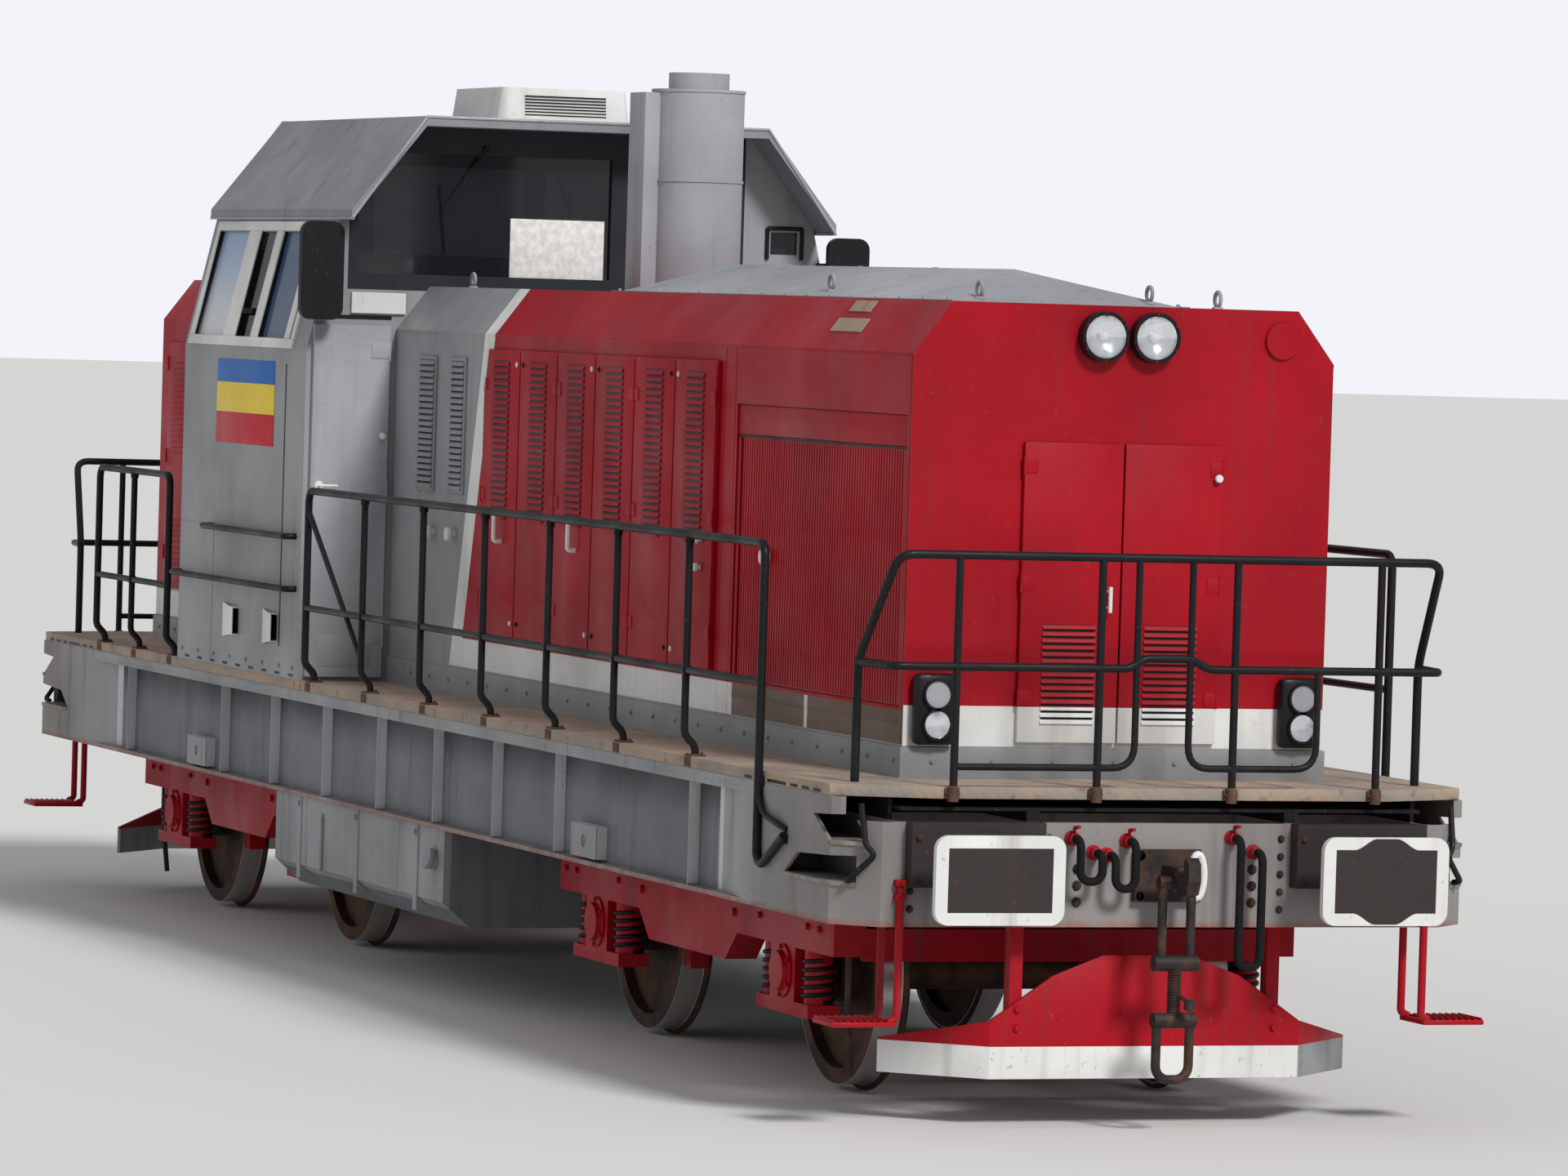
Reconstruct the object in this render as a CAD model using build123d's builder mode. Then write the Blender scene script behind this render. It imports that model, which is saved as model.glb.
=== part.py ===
"""Four-axle diesel hydraulic road-switcher: long hood, off-centre cab, short rear hood.

Millimetres. +X is the front (long hood end), +Z is up, Y is across. The origin lies on the
plane of the lowest wheel flange points, midway between the buffer faces. Rail top is at
z = flange_depth.
"""
import os

from build123d import *

os.makedirs("parts", exist_ok=True)

# Running gear
flange_depth = 28
wheel_radius = 500
axle_z = flange_depth + wheel_radius
back_to_back = 1360
tyre_width = 140
flange_width = 32
rim_depth = 70
wheel_web = 36
hub_radius = 135
hub_width = 190
axle_radius = 85
journal_radius = 65
journal_end = 1075
bogie_base = 2500
bogie_centres = 7200
pivot_radius = 160
running_gap = 0.5
seat_gap = 0.3

# Bogie frame
side_beam_y = (930, 1080)
side_beam_half = 1790
side_beam_z = (600, 790)
side_beam_drop = 90
transom_half = 330
transom_z = (600, 800)
headstock_x = (1800, 1870)
headstock_z = (620, 760)
axlebox_half = 150
spring_radius = 62
spring_offset = 250
brake_gap = 9
brake_shoe = 55

# Overall
buffer_face = 6850
buffer_spacing = 1750
buffer_z = 1080
buffer_head = (577, 372)
buffer_corner = 60
beam_x = 6524
beam_half = 1280
frame_half = 1448
corner_x = 6360

# Main frame
deck_z = 1444
deck_thick = 86
frame_bottom = 860
flange_plate = 20
web_y = 1392
web_plate = 16
inner_flange_y = 1290
rib_pitch = 917.6
rib_numbers = (-5, -3, -2, -1, 0, 1, 2, 3, 5)
rib_plate = 14
rib_edge = 1440
slope_x = 4850
flush_x = 5300
end_block_y = 1190
beam_plate = 40
beam_top = 1298
jack_x = 3188
jack_pad = (350, 150)
jack_z = 968
jack_hole = 30

# Deck
deck_front = 6500
deck_corner_x = 6330
deck_corner_y = 1030

# Long hood
hood_front = 5928
hood_rear = -1365
hood_half = 972
hood_top = 3470
hood_shoulder = 3245
hood_top_half = 799
hood_wall = 30
plinth = 12
plinth_top = 1574
leaf_thick = 25
leaf_gap = 8
door_pitch = 563
door_count = 6
door_first = 170
door_z = (1760, 3170)
door_overlap = 22
louvre_z = (2340, 3120)
louvre_pitch = 60
louvre_half = 125
louvre_out = 14
grey_louvre_x = ((-925, -650), (-410, -170))
radiator_x = (3767, 5880)
radiator_z = (1667, 2982)
radiator_line = 2830
radiator_depth = 20
radiator_pitch = 110
front_door_half = 460
front_door_z = (1600, 2880)
front_louvre_y = (92, 354)
front_louvre_z = (1680, 2135)
stack_x = 400
stack_radius = 228
stack_top = 4476
outlet_radius = 150
outlet_top = 4558
cover_x = (780, 5640)
cover_ridge_x = (1000, 4950)
cover_half = 640
cover_ridge = 3622
lamp_y = 118
lamp_z = 3337
lamp_radius = 96
marker_y = (748, 942)
marker_z = (1587, 1890)

# Engine block
engine_x = (800, 3400)
engine_half = 520
engine_top = 2850

# Cab
cab_front = hood_rear
cab_rear = -3600
cab_half = frame_half
cab_wall = 50
floor_thick = 50
sill_z = 3130
lean_top_y = 1285
eave_half = 1310
eave_z = 3800
roof_sheet = 50
roof_half = 924
roof_z = 4334
roof_front = -1091
roof_rear = -3660
cab_door_y = (1012, 1416)
cab_door_z = (1465, 3262)
cab_door_thick = 30
door_lap = 20
side_window_x = (-3520, -1600)
side_window_rise = 672
window_frame = 52
frame_out = 10
pane = 8
windscreen_z = (3528, 4148)
windscreen_left = (-1190, 170)
windscreen_right = (390, 880)
small_window_y = (1050, 1200)
small_window_z = (3690, 3806)
rear_window_z = (3640, 4120)
rear_window_half = 430
roof_margin = 90

# Rear hood
rear_hood_end = -5730

# Tank
tank_x = (-1730, 1090)
tank_half = 1430
tank_z = (388, frame_bottom)
tank_knee_z = 510
tank_foot_half = 1290

# Handrails
rail_radius = 19
post_radius = 17
brace_radius = 14
rail_top = 2416
rail_mid = 1822
rail_y = frame_half + rail_radius + 1
rail_bend = 60
post_foot_y = 1415
foot_rise = 42
post_bend = 95
hook_low = 1010
hook_run = 330
hook_high = 1190
post_first = -1180
post_pitch = 958
post_count = 8
rear_post_x = (-3760, -4470, -5180)
end_rail_x = deck_front + rail_radius + seat_gap
corner_post = (6208, 1290)


def block(x, y, z, mode=Mode.ADD):
    """Box between two x, two y and two z values."""
    with Locations(((x[0] + x[1]) / 2, (y[0] + y[1]) / 2, (z[0] + z[1]) / 2)):
        Box(abs(x[1] - x[0]), abs(y[1] - y[0]), abs(z[1] - z[0]), mode=mode)


def along_x(outline, x0, x1, mode=Mode.ADD):
    """Prism along X from an outline of (y, z) points."""
    with BuildSketch(Plane.YZ.offset(x0)) as profile:
        with BuildLine():
            Polyline(*outline, close=True)
        make_face()
    extrude(profile.sketch, amount=x1 - x0, mode=mode)


def along_y(outline, y0, y1, mode=Mode.ADD):
    """Prism along Y from an outline of (x, z) points."""
    with BuildSketch(Plane.XZ.offset(-y1)) as profile:
        with BuildLine():
            Polyline(*outline, close=True)
        make_face()
    extrude(profile.sketch, amount=y1 - y0, mode=mode)


def along_z(outline, z0, z1, mode=Mode.ADD):
    """Prism along Z from an outline of (x, y) points."""
    with BuildSketch(Plane.XY.offset(z0)) as profile:
        with BuildLine():
            Polyline(*outline, close=True)
        make_face()
    extrude(profile.sketch, amount=z1 - z0, mode=mode)


def rod(start, end, radius, mode=Mode.ADD):
    """Round bar between two points."""
    way = Vector(*end) - Vector(*start)
    with BuildSketch(Plane(origin=start, z_dir=way)) as profile:
        Circle(radius)
    extrude(profile.sketch, amount=way.length, mode=mode)


def tube(route, radius, bend):
    """Round tube along a route of points with equal bends."""
    with BuildLine() as path:
        FilletPolyline(*route, radius=bend)
    with BuildSketch(path.line ^ 0) as profile:
        Circle(radius)
    sweep(profile.sketch, path=path.line)


def span(side, low, high):
    """Two y values of one side, in rising order."""
    return (low, high) if side > 0 else (-high, -low)


def save(part, name):
    part.label = name
    export_step(part, f"parts/{name}.step")


# Wheelsets: axle, two wheels and their journals turn as one
with BuildPart() as wheelset:
    with BuildSketch(Plane.XZ):
        with BuildLine():
            inner = back_to_back / 2
            flange_r = wheel_radius + flange_depth
            outer = inner + tyre_width
            rim_r = wheel_radius - rim_depth
            web_in = inner + tyre_width / 2 - wheel_web / 2
            web_out = web_in + wheel_web
            hub_in = inner - 20
            hub_out = hub_in + hub_width
            Polyline(
                (0, 0), (axle_radius, 0), (axle_radius, hub_in), (hub_radius, hub_in),
                (hub_radius, web_in), (rim_r, web_in), (rim_r, inner), (flange_r - 10, inner),
                (flange_r, inner + 12), (wheel_radius, inner + flange_width),
                (wheel_radius, outer), (rim_r, outer), (rim_r, web_out), (hub_radius, web_out),
                (hub_radius, hub_out), (journal_radius, hub_out), (journal_radius, journal_end),
                (0, journal_end), close=True,
            )
        make_face()
    revolve(axis=Axis.Z)
    mirror(about=Plane.XY)
wheelset_solid = wheelset.part.rotate(Axis.X, 90)
axle_places = []
for bogie_side in (1, -1):
    for axle_side in (1, -1):
        axle_places.append(bogie_side * bogie_centres / 2 + axle_side * bogie_base / 2)
for number, axle_x in enumerate(sorted(axle_places, reverse=True), start=1):
    save(wheelset_solid.moved(Location((axle_x, 0, axle_z))), f"wheelset_{number}")

# Bogie frames: the headstock is at the outer end, the inner end stays open for the wheels
beam_low = side_beam_z[0] + 40
shoe_z = (axle_z - 170, axle_z + 170)
wheel_y = (back_to_back / 2 + 40, back_to_back / 2 + tyre_width - 10)
with BuildPart() as bogie:
    for side in (-1, 1):
        beam_outline = [
            (-side_beam_half, beam_low), (-side_beam_half, side_beam_z[1]),
            (headstock_x[1], side_beam_z[1]), (headstock_x[1], beam_low),
            (transom_half + 330, beam_low), (transom_half + 180, side_beam_z[0] - side_beam_drop),
            (-transom_half - 180, side_beam_z[0] - side_beam_drop), (-transom_half - 330, beam_low),
        ]
        along_y(beam_outline, *span(side, *side_beam_y))
        beam_y = span(side, *side_beam_y)
        for axle_side in (-1, 1):
            axle_x = axle_side * bogie_base / 2
            block((axle_x - axlebox_half, axle_x + axlebox_half), beam_y, (axle_z - 130, beam_low + 20))
            block((axle_x - spring_offset - 75, axle_x + spring_offset + 75), beam_y,
                  (axle_z - 185, axle_z - 125))
            for spring_side in (-1, 1):
                spring_x = axle_x + spring_side * spring_offset
                rod((spring_x, sum(beam_y) / 2, axle_z - 130), (spring_x, sum(beam_y) / 2, beam_low + 10),
                    spring_radius)
            shoe_x = axle_x - axle_side * (wheel_radius + brake_gap)
            block((shoe_x - axle_side * brake_shoe, shoe_x + axle_side * 90), span(side, *wheel_y), shoe_z)
            with Locations(Location((axle_x, 0, axle_z), (90, 0, 0))):
                Cylinder(wheel_radius + brake_gap, 2 * (side_beam_y[0] - 20), mode=Mode.SUBTRACT)
            block((shoe_x - axle_side * brake_shoe, shoe_x - axle_side * (brake_shoe - 30)),
                  span(side, wheel_y[0], side_beam_y[0]), (shoe_z[1] - 40, shoe_z[1]))
    block((-transom_half, transom_half), (-side_beam_y[0], side_beam_y[0]), transom_z)
    block(headstock_x, (-side_beam_y[0], side_beam_y[0]), headstock_z)
    for side in (-1, 1):
        block((transom_half - 10, bogie_base / 2 - wheel_radius - brake_gap - brake_shoe + 20),
              span(side, *wheel_y), (axle_z + 90, axle_z + 150))
        block((-transom_half + 10, -bogie_base / 2 + wheel_radius + brake_gap + brake_shoe - 20),
              span(side, *wheel_y), (axle_z + 90, axle_z + 150))
    with Locations((0, 0, (transom_z[0] + transom_z[1]) / 2)):
        Cylinder(pivot_radius + running_gap, 600, mode=Mode.SUBTRACT)
    for axle_side in (-1, 1):
        with Locations(Location((axle_side * bogie_base / 2, 0, axle_z), (90, 0, 0))):
            Cylinder(journal_radius + running_gap, 2 * journal_end + 20, mode=Mode.SUBTRACT)
for name, place, turn in (("front_bogie", bogie_centres / 2, 0), ("rear_bogie", -bogie_centres / 2, 180)):
    save(bogie.part.moved(Location((place, 0, 0), (0, 0, turn))), name)

# Side girders: recessed web with full-height ribs between two flanges, sloping out to the flush ends
frame_top = deck_z - deck_thick
with BuildPart() as side_girders:
    for side in (-1, 1):
        web_outline = []
        for y_shift in (0, -web_plate):
            run = [(-flush_x, frame_half), (-slope_x, web_y), (slope_x, web_y), (flush_x, frame_half)]
            run = [(x, side * (y + y_shift)) for x, y in run]
            web_outline += run if y_shift == 0 else run[::-1]
        along_z(web_outline, frame_bottom, frame_top)
        for z in (frame_bottom, frame_top - flange_plate):
            block((-flush_x, flush_x), span(side, inner_flange_y, frame_half), (z, z + flange_plate))
        for number in rib_numbers:
            rib_x = number * rib_pitch
            block((rib_x - rib_plate / 2, rib_x + rib_plate / 2), span(side, web_y - 1, rib_edge),
                  (frame_bottom, frame_top))
save(side_girders.part, "side_girders")

# Jacking pads with an eye, against the webs
with BuildPart() as jacking_pads:
    for end in (-1, 1):
        for side in (-1, 1):
            block((end * (jack_x - jack_pad[0] / 2), end * (jack_x + jack_pad[0] / 2)),
                  span(side, web_y, frame_half - 2), (jack_z - jack_pad[1] / 2, jack_z + jack_pad[1] / 2))
            with Locations(Location((end * jack_x, side * frame_half, jack_z), (90, 0, 0))):
                Cylinder(jack_hole, 2 * (frame_half - web_y) + 10, mode=Mode.SUBTRACT)
save(jacking_pads.part, "jacking_pads")

# Corner ends: flush side plate, cut corner and two step wells, open below
step_wells = [
    # low x, high x, low z, high z
    (5830, 6330, 1040, 1145),
    (5990, 6540, 1205, 1300),
]
with BuildPart() as corner_steps:
    for end in (-1, 1):
        for side in (-1, 1):
            corner_outline = [
                (end * flush_x, side * (frame_half - web_plate)), (end * flush_x, side * frame_half),
                (end * corner_x, side * frame_half), (end * beam_x, side * beam_half),
                (end * beam_x, side * end_block_y), (end * 5560, side * end_block_y),
                (end * 5560, side * (frame_half - web_plate)),
            ]
            along_z(corner_outline, frame_bottom, frame_top)
            block((end * (corner_x + 30), end * (beam_x + 10)), span(side, end_block_y - 5, frame_half + 5),
                  (beam_top, frame_top + 5), Mode.SUBTRACT)
            for x0, x1, z0, z1 in step_wells:
                block((end * x0, end * x1), span(side, end_block_y + 70, frame_half + 5), (z0, z1), Mode.SUBTRACT)
            block((end * 5600, end * 6330), span(side, end_block_y + 60, frame_half - web_plate),
                  (frame_bottom - 5, step_wells[0][2] - 16), Mode.SUBTRACT)
save(corner_steps.part, "corner_steps")

# Underframe: top plate, cross members, bolsters with centre pivots and draw-gear longitudinals
plate_z = (frame_top - 14, frame_top)
with BuildPart() as underframe:
    block((-beam_x + beam_plate, beam_x - beam_plate), (-end_block_y, end_block_y), plate_z)
    for end in (-1, 1):
        for x in (5900, 1840, 700):
            block((end * x, end * (x + 60)), (-end_block_y, end_block_y), (1100, plate_z[0] + 1))
            if x < slope_x:
                block((end * x, end * (x + 60)), (-web_y + web_plate, web_y - web_plate),
                      (1100, frame_top - flange_plate))
        pivot_x = end * bogie_centres / 2
        bolster = (pivot_x - transom_half, pivot_x + transom_half)
        block(bolster, (-end_block_y, end_block_y), (1100, plate_z[0] + 1))
        block(bolster, (-web_y + web_plate, web_y - web_plate), (1100, frame_top - flange_plate))
        with Locations((pivot_x, 0, (transom_z[0] + 30 + 1110) / 2)):
            Cylinder(pivot_radius, 1110 - transom_z[0] - 30)
        with Locations((pivot_x, 0, (transom_z[1] + seat_gap + 1110) / 2)):
            Cylinder(2 * pivot_radius, 1110 - transom_z[1] - seat_gap)
        for side in (-1, 1):
            block((end * (beam_x - beam_plate), end * 5900), span(side, 560, 620), (1000, plate_z[0] + 1))
save(underframe.part, "underframe")

# End beams
with BuildPart() as end_beams:
    for end in (-1, 1):
        block((end * (beam_x - beam_plate), end * beam_x), (-end_block_y, end_block_y), (frame_bottom, beam_top))
save(end_beams.part, "end_beams")

# Deck plate with cut corners
with BuildPart() as deck:
    deck_outline = [
        (deck_front, deck_corner_y), (deck_corner_x, frame_half), (-deck_corner_x, frame_half),
        (-deck_front, deck_corner_y), (-deck_front, -deck_corner_y), (-deck_corner_x, -frame_half),
        (deck_corner_x, -frame_half), (deck_front, -deck_corner_y),
    ]
    along_z(deck_outline, frame_top, deck_z)
save(deck.part, "deck")

# Buffers: rounded rectangular heads on round plungers in stepped housings
buffer_parts = [
    # start from the beam, end from the beam, radius
    (20, 200, 125),
    (200, 296, 95),
]
with BuildPart() as buffers:
    for end in (-1, 1):
        for side in (-1, 1):
            y = side * buffer_spacing / 2
            with BuildSketch(Plane(origin=(end * buffer_face, y, buffer_z), x_dir=(0, 1, 0), z_dir=(-end, 0, 0))):
                RectangleRounded(buffer_head[0], buffer_head[1], buffer_corner)
            extrude(amount=32)
            block((end * beam_x, end * (beam_x + 75)), (y - 300, y + 300), (1030, beam_top + 4))
            for start, stop, radius in buffer_parts:
                rod((end * (beam_x + start), y, buffer_z), (end * (beam_x + stop), y, buffer_z), radius)
save(buffers.part, "buffers")

# Draw gear: hook with its guide and a hanging screw coupling at both ends
hook_outline = [
    # x from the beam, z from the buffer height
    (30, -45), (190, -45), (235, -75), (300, -60), (325, 0), (318, 70), (285, 95), (262, 70),
    (272, 20), (235, 0), (205, 45), (30, 45),
]
with BuildPart() as draw_gear:
    for end in (-1, 1):
        block((end * beam_x, end * (beam_x + 40)), (-150, 150), (buffer_z - 110, buffer_z + 110))
        outline = [(end * (beam_x + x), buffer_z + z) for x, z in hook_outline]
        along_y(outline, -28, 28)
        pin_x = end * (beam_x + 140)
        rod((pin_x, -85, buffer_z - 20), (pin_x, 85, buffer_z - 20), 28)
        for side in (-1, 1):
            rod((pin_x, side * 65, buffer_z - 30), (pin_x, side * 65, buffer_z - 360), 20)
        rod((pin_x, -100, buffer_z - 360), (pin_x, 100, buffer_z - 360), 34)
        rod((pin_x, 0, buffer_z - 350), (pin_x, 0, buffer_z - 620), 26)
        rod((pin_x, -95, buffer_z - 600), (pin_x, 95, buffer_z - 600), 34)
        tube([(pin_x, -75, buffer_z - 610), (pin_x, -75, buffer_z - 850), (pin_x, 75, buffer_z - 850),
              (pin_x, 75, buffer_z - 610)], 20, 60)
save(draw_gear.part, "draw_gear")

# Brake hoses: each loops from its cock on the beam down to its holder
hose_loops = [
    # cock y, holder y, height of the ends, height of the bend
    (-430, -330, 1235, 1060),
    (-180, -270, 1225, 1030),
    (300, 400, 1240, 700),
]
with BuildPart() as brake_hoses:
    for end in (-1, 1):
        for y0, y1, z_top, z_low in hose_loops:
            x0 = end * beam_x
            x1 = end * (beam_x + 110)
            tube([(x0, end * y0, z_top), (x1, end * y0, z_top), (x1, end * y0, z_low), (x1, end * y1, z_low),
                  (x1, end * y1, z_top - 60), (x0, end * y1, z_top - 60)], 18, 45)
save(brake_hoses.part, "brake_hoses")

# Ploughs: blade rising to the middle, swept wings and two hangers
plough_x = (6330, 6370)
plough_blade = [
    # half width, height
    (1010, 205), (1010, 352), (850, 360), (430, 640), (200, 728),
]
with BuildPart() as ploughs:
    for end in (-1, 1):
        blade = [(y, z) for y, z in plough_blade] + [(-y, z) for y, z in reversed(plough_blade)]
        along_x(blade, min(end * plough_x[0], end * plough_x[1]), max(end * plough_x[0], end * plough_x[1]))
        for side in (-1, 1):
            wing = [
                (end * plough_x[1], side * 1005), (end * 6050, side * 1270), (end * 6010, side * 1270),
                (end * plough_x[0], side * 1000),
            ]
            along_z(wing, 205, 352)
            block((end * (plough_x[0] + 1), end * (plough_x[0] - 60)), span(side, 560, 620), (330, 1000))
            block((end * (plough_x[0] + 1), end * 6000), span(side, 560, 620), (940, 1000))
save(ploughs.part, "ploughs")

# Hanging foot steps
with BuildPart() as foot_steps:
    for end in (-1, 1):
        for side in (-1, 1):
            for x in (5990, 6170):
                block((end * x, end * (x + 40)), span(side, end_block_y + 4, end_block_y + 40), (470, frame_bottom))
            block((end * 5980, end * 6220), span(side, end_block_y + 4, 1490), (445, 475))
save(foot_steps.part, "foot_steps")

# Fuel tank with its lower sides drawn in
with BuildPart() as fuel_tank:
    tank_outline = [
        (-tank_half, tank_knee_z), (-tank_half, tank_z[1]), (tank_half, tank_z[1]),
        (tank_half, tank_knee_z), (tank_foot_half, tank_z[0]), (-tank_foot_half, tank_z[0]),
    ]
    along_x(tank_outline, tank_x[0], tank_x[1])
save(fuel_tank.part, "fuel_tank")

# Engine: one plain block inside the long hood
with BuildPart() as engine:
    block(engine_x, (-engine_half, engine_half), (deck_z, engine_top))
save(engine.part, "engine")


# Hoods
def hood_outline(inset):
    """Section of both hoods, drawn in by a wall thickness."""
    half = hood_half - inset
    top_half = hood_top_half - 0.4 * inset
    shoulder = hood_shoulder - 0.4 * inset
    return [
        (-half, deck_z), (-half, shoulder), (-top_half, hood_top - inset),
        (top_half, hood_top - inset), (half, shoulder), (half, deck_z),
    ]


with BuildPart() as long_hood:
    along_x(hood_outline(0), hood_rear, hood_front)
    block((hood_rear, hood_front + plinth), (-hood_half - plinth, hood_half + plinth), (deck_z, plinth_top))
    along_x(hood_outline(hood_wall), hood_rear + hood_wall, hood_front - hood_wall, Mode.SUBTRACT)
    for side in (-1, 1):
        wall = span(side, hood_half - hood_wall - 20, hood_half + 20)
        for number in range(door_count):
            x0 = door_first + number * door_pitch
            block((x0 + door_overlap + leaf_gap, x0 + door_pitch - door_overlap - leaf_gap), wall,
                  (door_z[0] + door_overlap, door_z[1] - door_overlap), Mode.SUBTRACT)
        block(radiator_x, span(side, hood_half - radiator_depth, hood_half + 20), radiator_z, Mode.SUBTRACT)
    block((hood_front - hood_wall - 20, hood_front + 20),
          (-front_door_half + door_overlap, front_door_half - door_overlap),
          (front_door_z[0] + door_overlap, front_door_z[1] - door_overlap), Mode.SUBTRACT)
    rod((hood_front - 5, 726, lamp_z + 2), (hood_front + 8, 726, lamp_z + 2), 78)
save(long_hood.part, "long_hood")

with BuildPart() as rear_hood:
    along_x(hood_outline(0), rear_hood_end, cab_rear)
    block((rear_hood_end - plinth, cab_rear), (-hood_half - plinth, hood_half + plinth), (deck_z, plinth_top))
    along_x(hood_outline(hood_wall), rear_hood_end + hood_wall, cab_rear - hood_wall, Mode.SUBTRACT)
save(rear_hood.part, "rear_hood")


# Hood side doors: leaves in pairs, each with a louvre column
def louvres_x(face, out, x0, x1, z0, z1):
    """Column of sloping louvre slats along X on a face at one side."""
    count = int((z1 - z0) / louvre_pitch)
    direction = 1 if out > face else -1
    for number in range(count):
        z = z0 + number * (z1 - z0) / count
        slat = [(face - direction, z + 12), (out, z + 12), (face - direction, z + louvre_pitch - 14)]
        along_x(slat, x0, x1)


def side_leaf(x0, side):
    face = side * (hood_half + seat_gap)
    out = side * (hood_half + seat_gap + leaf_thick)
    with BuildPart() as leaf:
        block((x0 + leaf_gap, x0 + door_pitch - leaf_gap), (face, out), door_z)
        centre = x0 + door_pitch / 2
        louvres_x(out, out + side * louvre_out, centre - louvre_half, centre + louvre_half, *louvre_z)
    return leaf.part


for side, side_name in ((-1, "right"), (1, "left")):
    for number in range(door_count):
        leaf_x = door_first + number * door_pitch
        save(side_leaf(leaf_x, side), f"{side_name}_hood_door_{number + 1}")

# Fixed louvre panels beside the cab
with BuildPart() as louvre_panels:
    for side in (-1, 1):
        face = side * (hood_half + 12)
        for x0, x1 in grey_louvre_x:
            block((x0, x1), (side * hood_half, face), (louvre_z[0] + 100, louvre_z[1]))
            louvres_x(face, face + side * louvre_out, x0 + 15, x1 - 15, louvre_z[0] + 115, louvre_z[1] - 15)
save(louvre_panels.part, "louvre_panels")

# Front doors of the long hood
for side, side_name in ((-1, "right"), (1, "left")):
    with BuildPart() as leaf:
        x_in = hood_front + seat_gap
        x_out = x_in + leaf_thick
        block((x_in, x_out), (side * 4, side * front_door_half), front_door_z)
        slat_count = int((front_louvre_z[1] - front_louvre_z[0]) / louvre_pitch)
        for number in range(slat_count):
            z = front_louvre_z[0] + number * (front_louvre_z[1] - front_louvre_z[0]) / slat_count
            slat = [(x_out - 1, z), (x_out + louvre_out, z), (x_out - 1, z + louvre_pitch - 20)]
            along_y(slat, *span(side, *front_louvre_y))
    save(leaf.part, f"front_{side_name}_hood_door")

# Radiator panels: header strip above upright lamellae in the recess
with BuildPart() as radiator_panels:
    for side in (-1, 1):
        x0, x1 = radiator_x[0] + 40, radiator_x[1] - 40
        base = hood_half - radiator_depth
        block((x0, x1), span(side, base, base + 8), (radiator_z[0] + 20, radiator_line))
        block((x0 - 38, x1 + 38), span(side, base, base + 12), (radiator_line + 10, radiator_z[1] - 2))
        lamella_count = int((x1 - x0) / radiator_pitch)
        for number in range(lamella_count):
            x = x0 + (number + 0.5) * (x1 - x0) / lamella_count
            block((x - 12, x + 12), span(side, base + 7, base + 18), (radiator_z[0] + 40, radiator_line - 20))
save(radiator_panels.part, "radiator_panels")

# Roof cover of the long hood: low ridge with hipped ends
with BuildPart() as roof_cover:
    with BuildSketch(Plane.XY.offset(hood_top)):
        with Locations((sum(cover_x) / 2, 0)):
            Rectangle(cover_x[1] - cover_x[0], 2 * cover_half)
    with BuildSketch(Plane.XY.offset(cover_ridge)):
        with Locations((sum(cover_ridge_x) / 2, 0)):
            Rectangle(cover_ridge_x[1] - cover_ridge_x[0], 24)
    loft()
save(roof_cover.part, "roof_cover")

# Exhaust stack with its outlet and the flat duct on its right side
with BuildPart() as exhaust_stack:
    rod((stack_x, 0, hood_top), (stack_x, 0, stack_top), stack_radius)
    rod((stack_x, 0, stack_top - 5), (stack_x, 0, outlet_top), outlet_radius)
    rod((stack_x, 0, outlet_top - 70), (stack_x, 0, outlet_top + 5), outlet_radius - 12, Mode.SUBTRACT)
    block((stack_x - 170, stack_x + 60), (-stack_radius - 70, -150), (hood_top, stack_top - 20))
save(exhaust_stack.part, "exhaust_stack")

# Headlamps: deep rims with a hollow reflector
with BuildPart() as headlamps:
    for side in (-1, 1):
        y = side * lamp_y
        rod((hood_front, y, lamp_z), (hood_front + 60, y, lamp_z), lamp_radius + 12)
        with BuildSketch(Plane(origin=(hood_front + 61, y, lamp_z), z_dir=(-1, 0, 0))):
            Circle(lamp_radius)
        extrude(amount=45, taper=20, mode=Mode.SUBTRACT)
save(headlamps.part, "headlamps")

# Marker lamps: two stacked rings in an upright housing at each front corner, and at the rear hood
with BuildPart() as marker_lamps:
    for face, end in ((hood_front + plinth, 1), (rear_hood_end - plinth, -1)):
        for side in (-1, 1):
            y = side * sum(marker_y) / 2
            centre_z = sum(marker_z) / 2
            plane = Plane(origin=(face - end * plinth, y, centre_z), x_dir=(0, 1, 0), z_dir=(end, 0, 0))
            with BuildSketch(plane):
                RectangleRounded(marker_y[1] - marker_y[0], marker_z[1] - marker_z[0], 30)
            extrude(amount=70)
            for z in (centre_z - 74, centre_z + 74):
                rod((face - end * plinth + end * 69, y, z), (face - end * plinth + end * 82, y, z), 66)
save(marker_lamps.part, "marker_lamps")


# Cab shell
def roof_under(y):
    """Height of the roof's underside at a distance from the centre line."""
    if y <= roof_half:
        return roof_z - roof_sheet
    return eave_z + (eave_half - y) * (roof_z - roof_sheet - eave_z) / (eave_half - roof_half)


lean_run = cab_half - lean_top_y
lean_top_z = roof_under(lean_top_y)
lean_plane_slope = Vector(0, -lean_run, lean_top_z - sill_z).normalized()
inner_top_y = lean_top_y - cab_wall
side_outline = [
    (cab_half, deck_z), (cab_half, sill_z), (lean_top_y, lean_top_z), (inner_top_y, roof_under(inner_top_y)),
    (cab_half - cab_wall, sill_z), (cab_half - cab_wall, deck_z),
]


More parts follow.
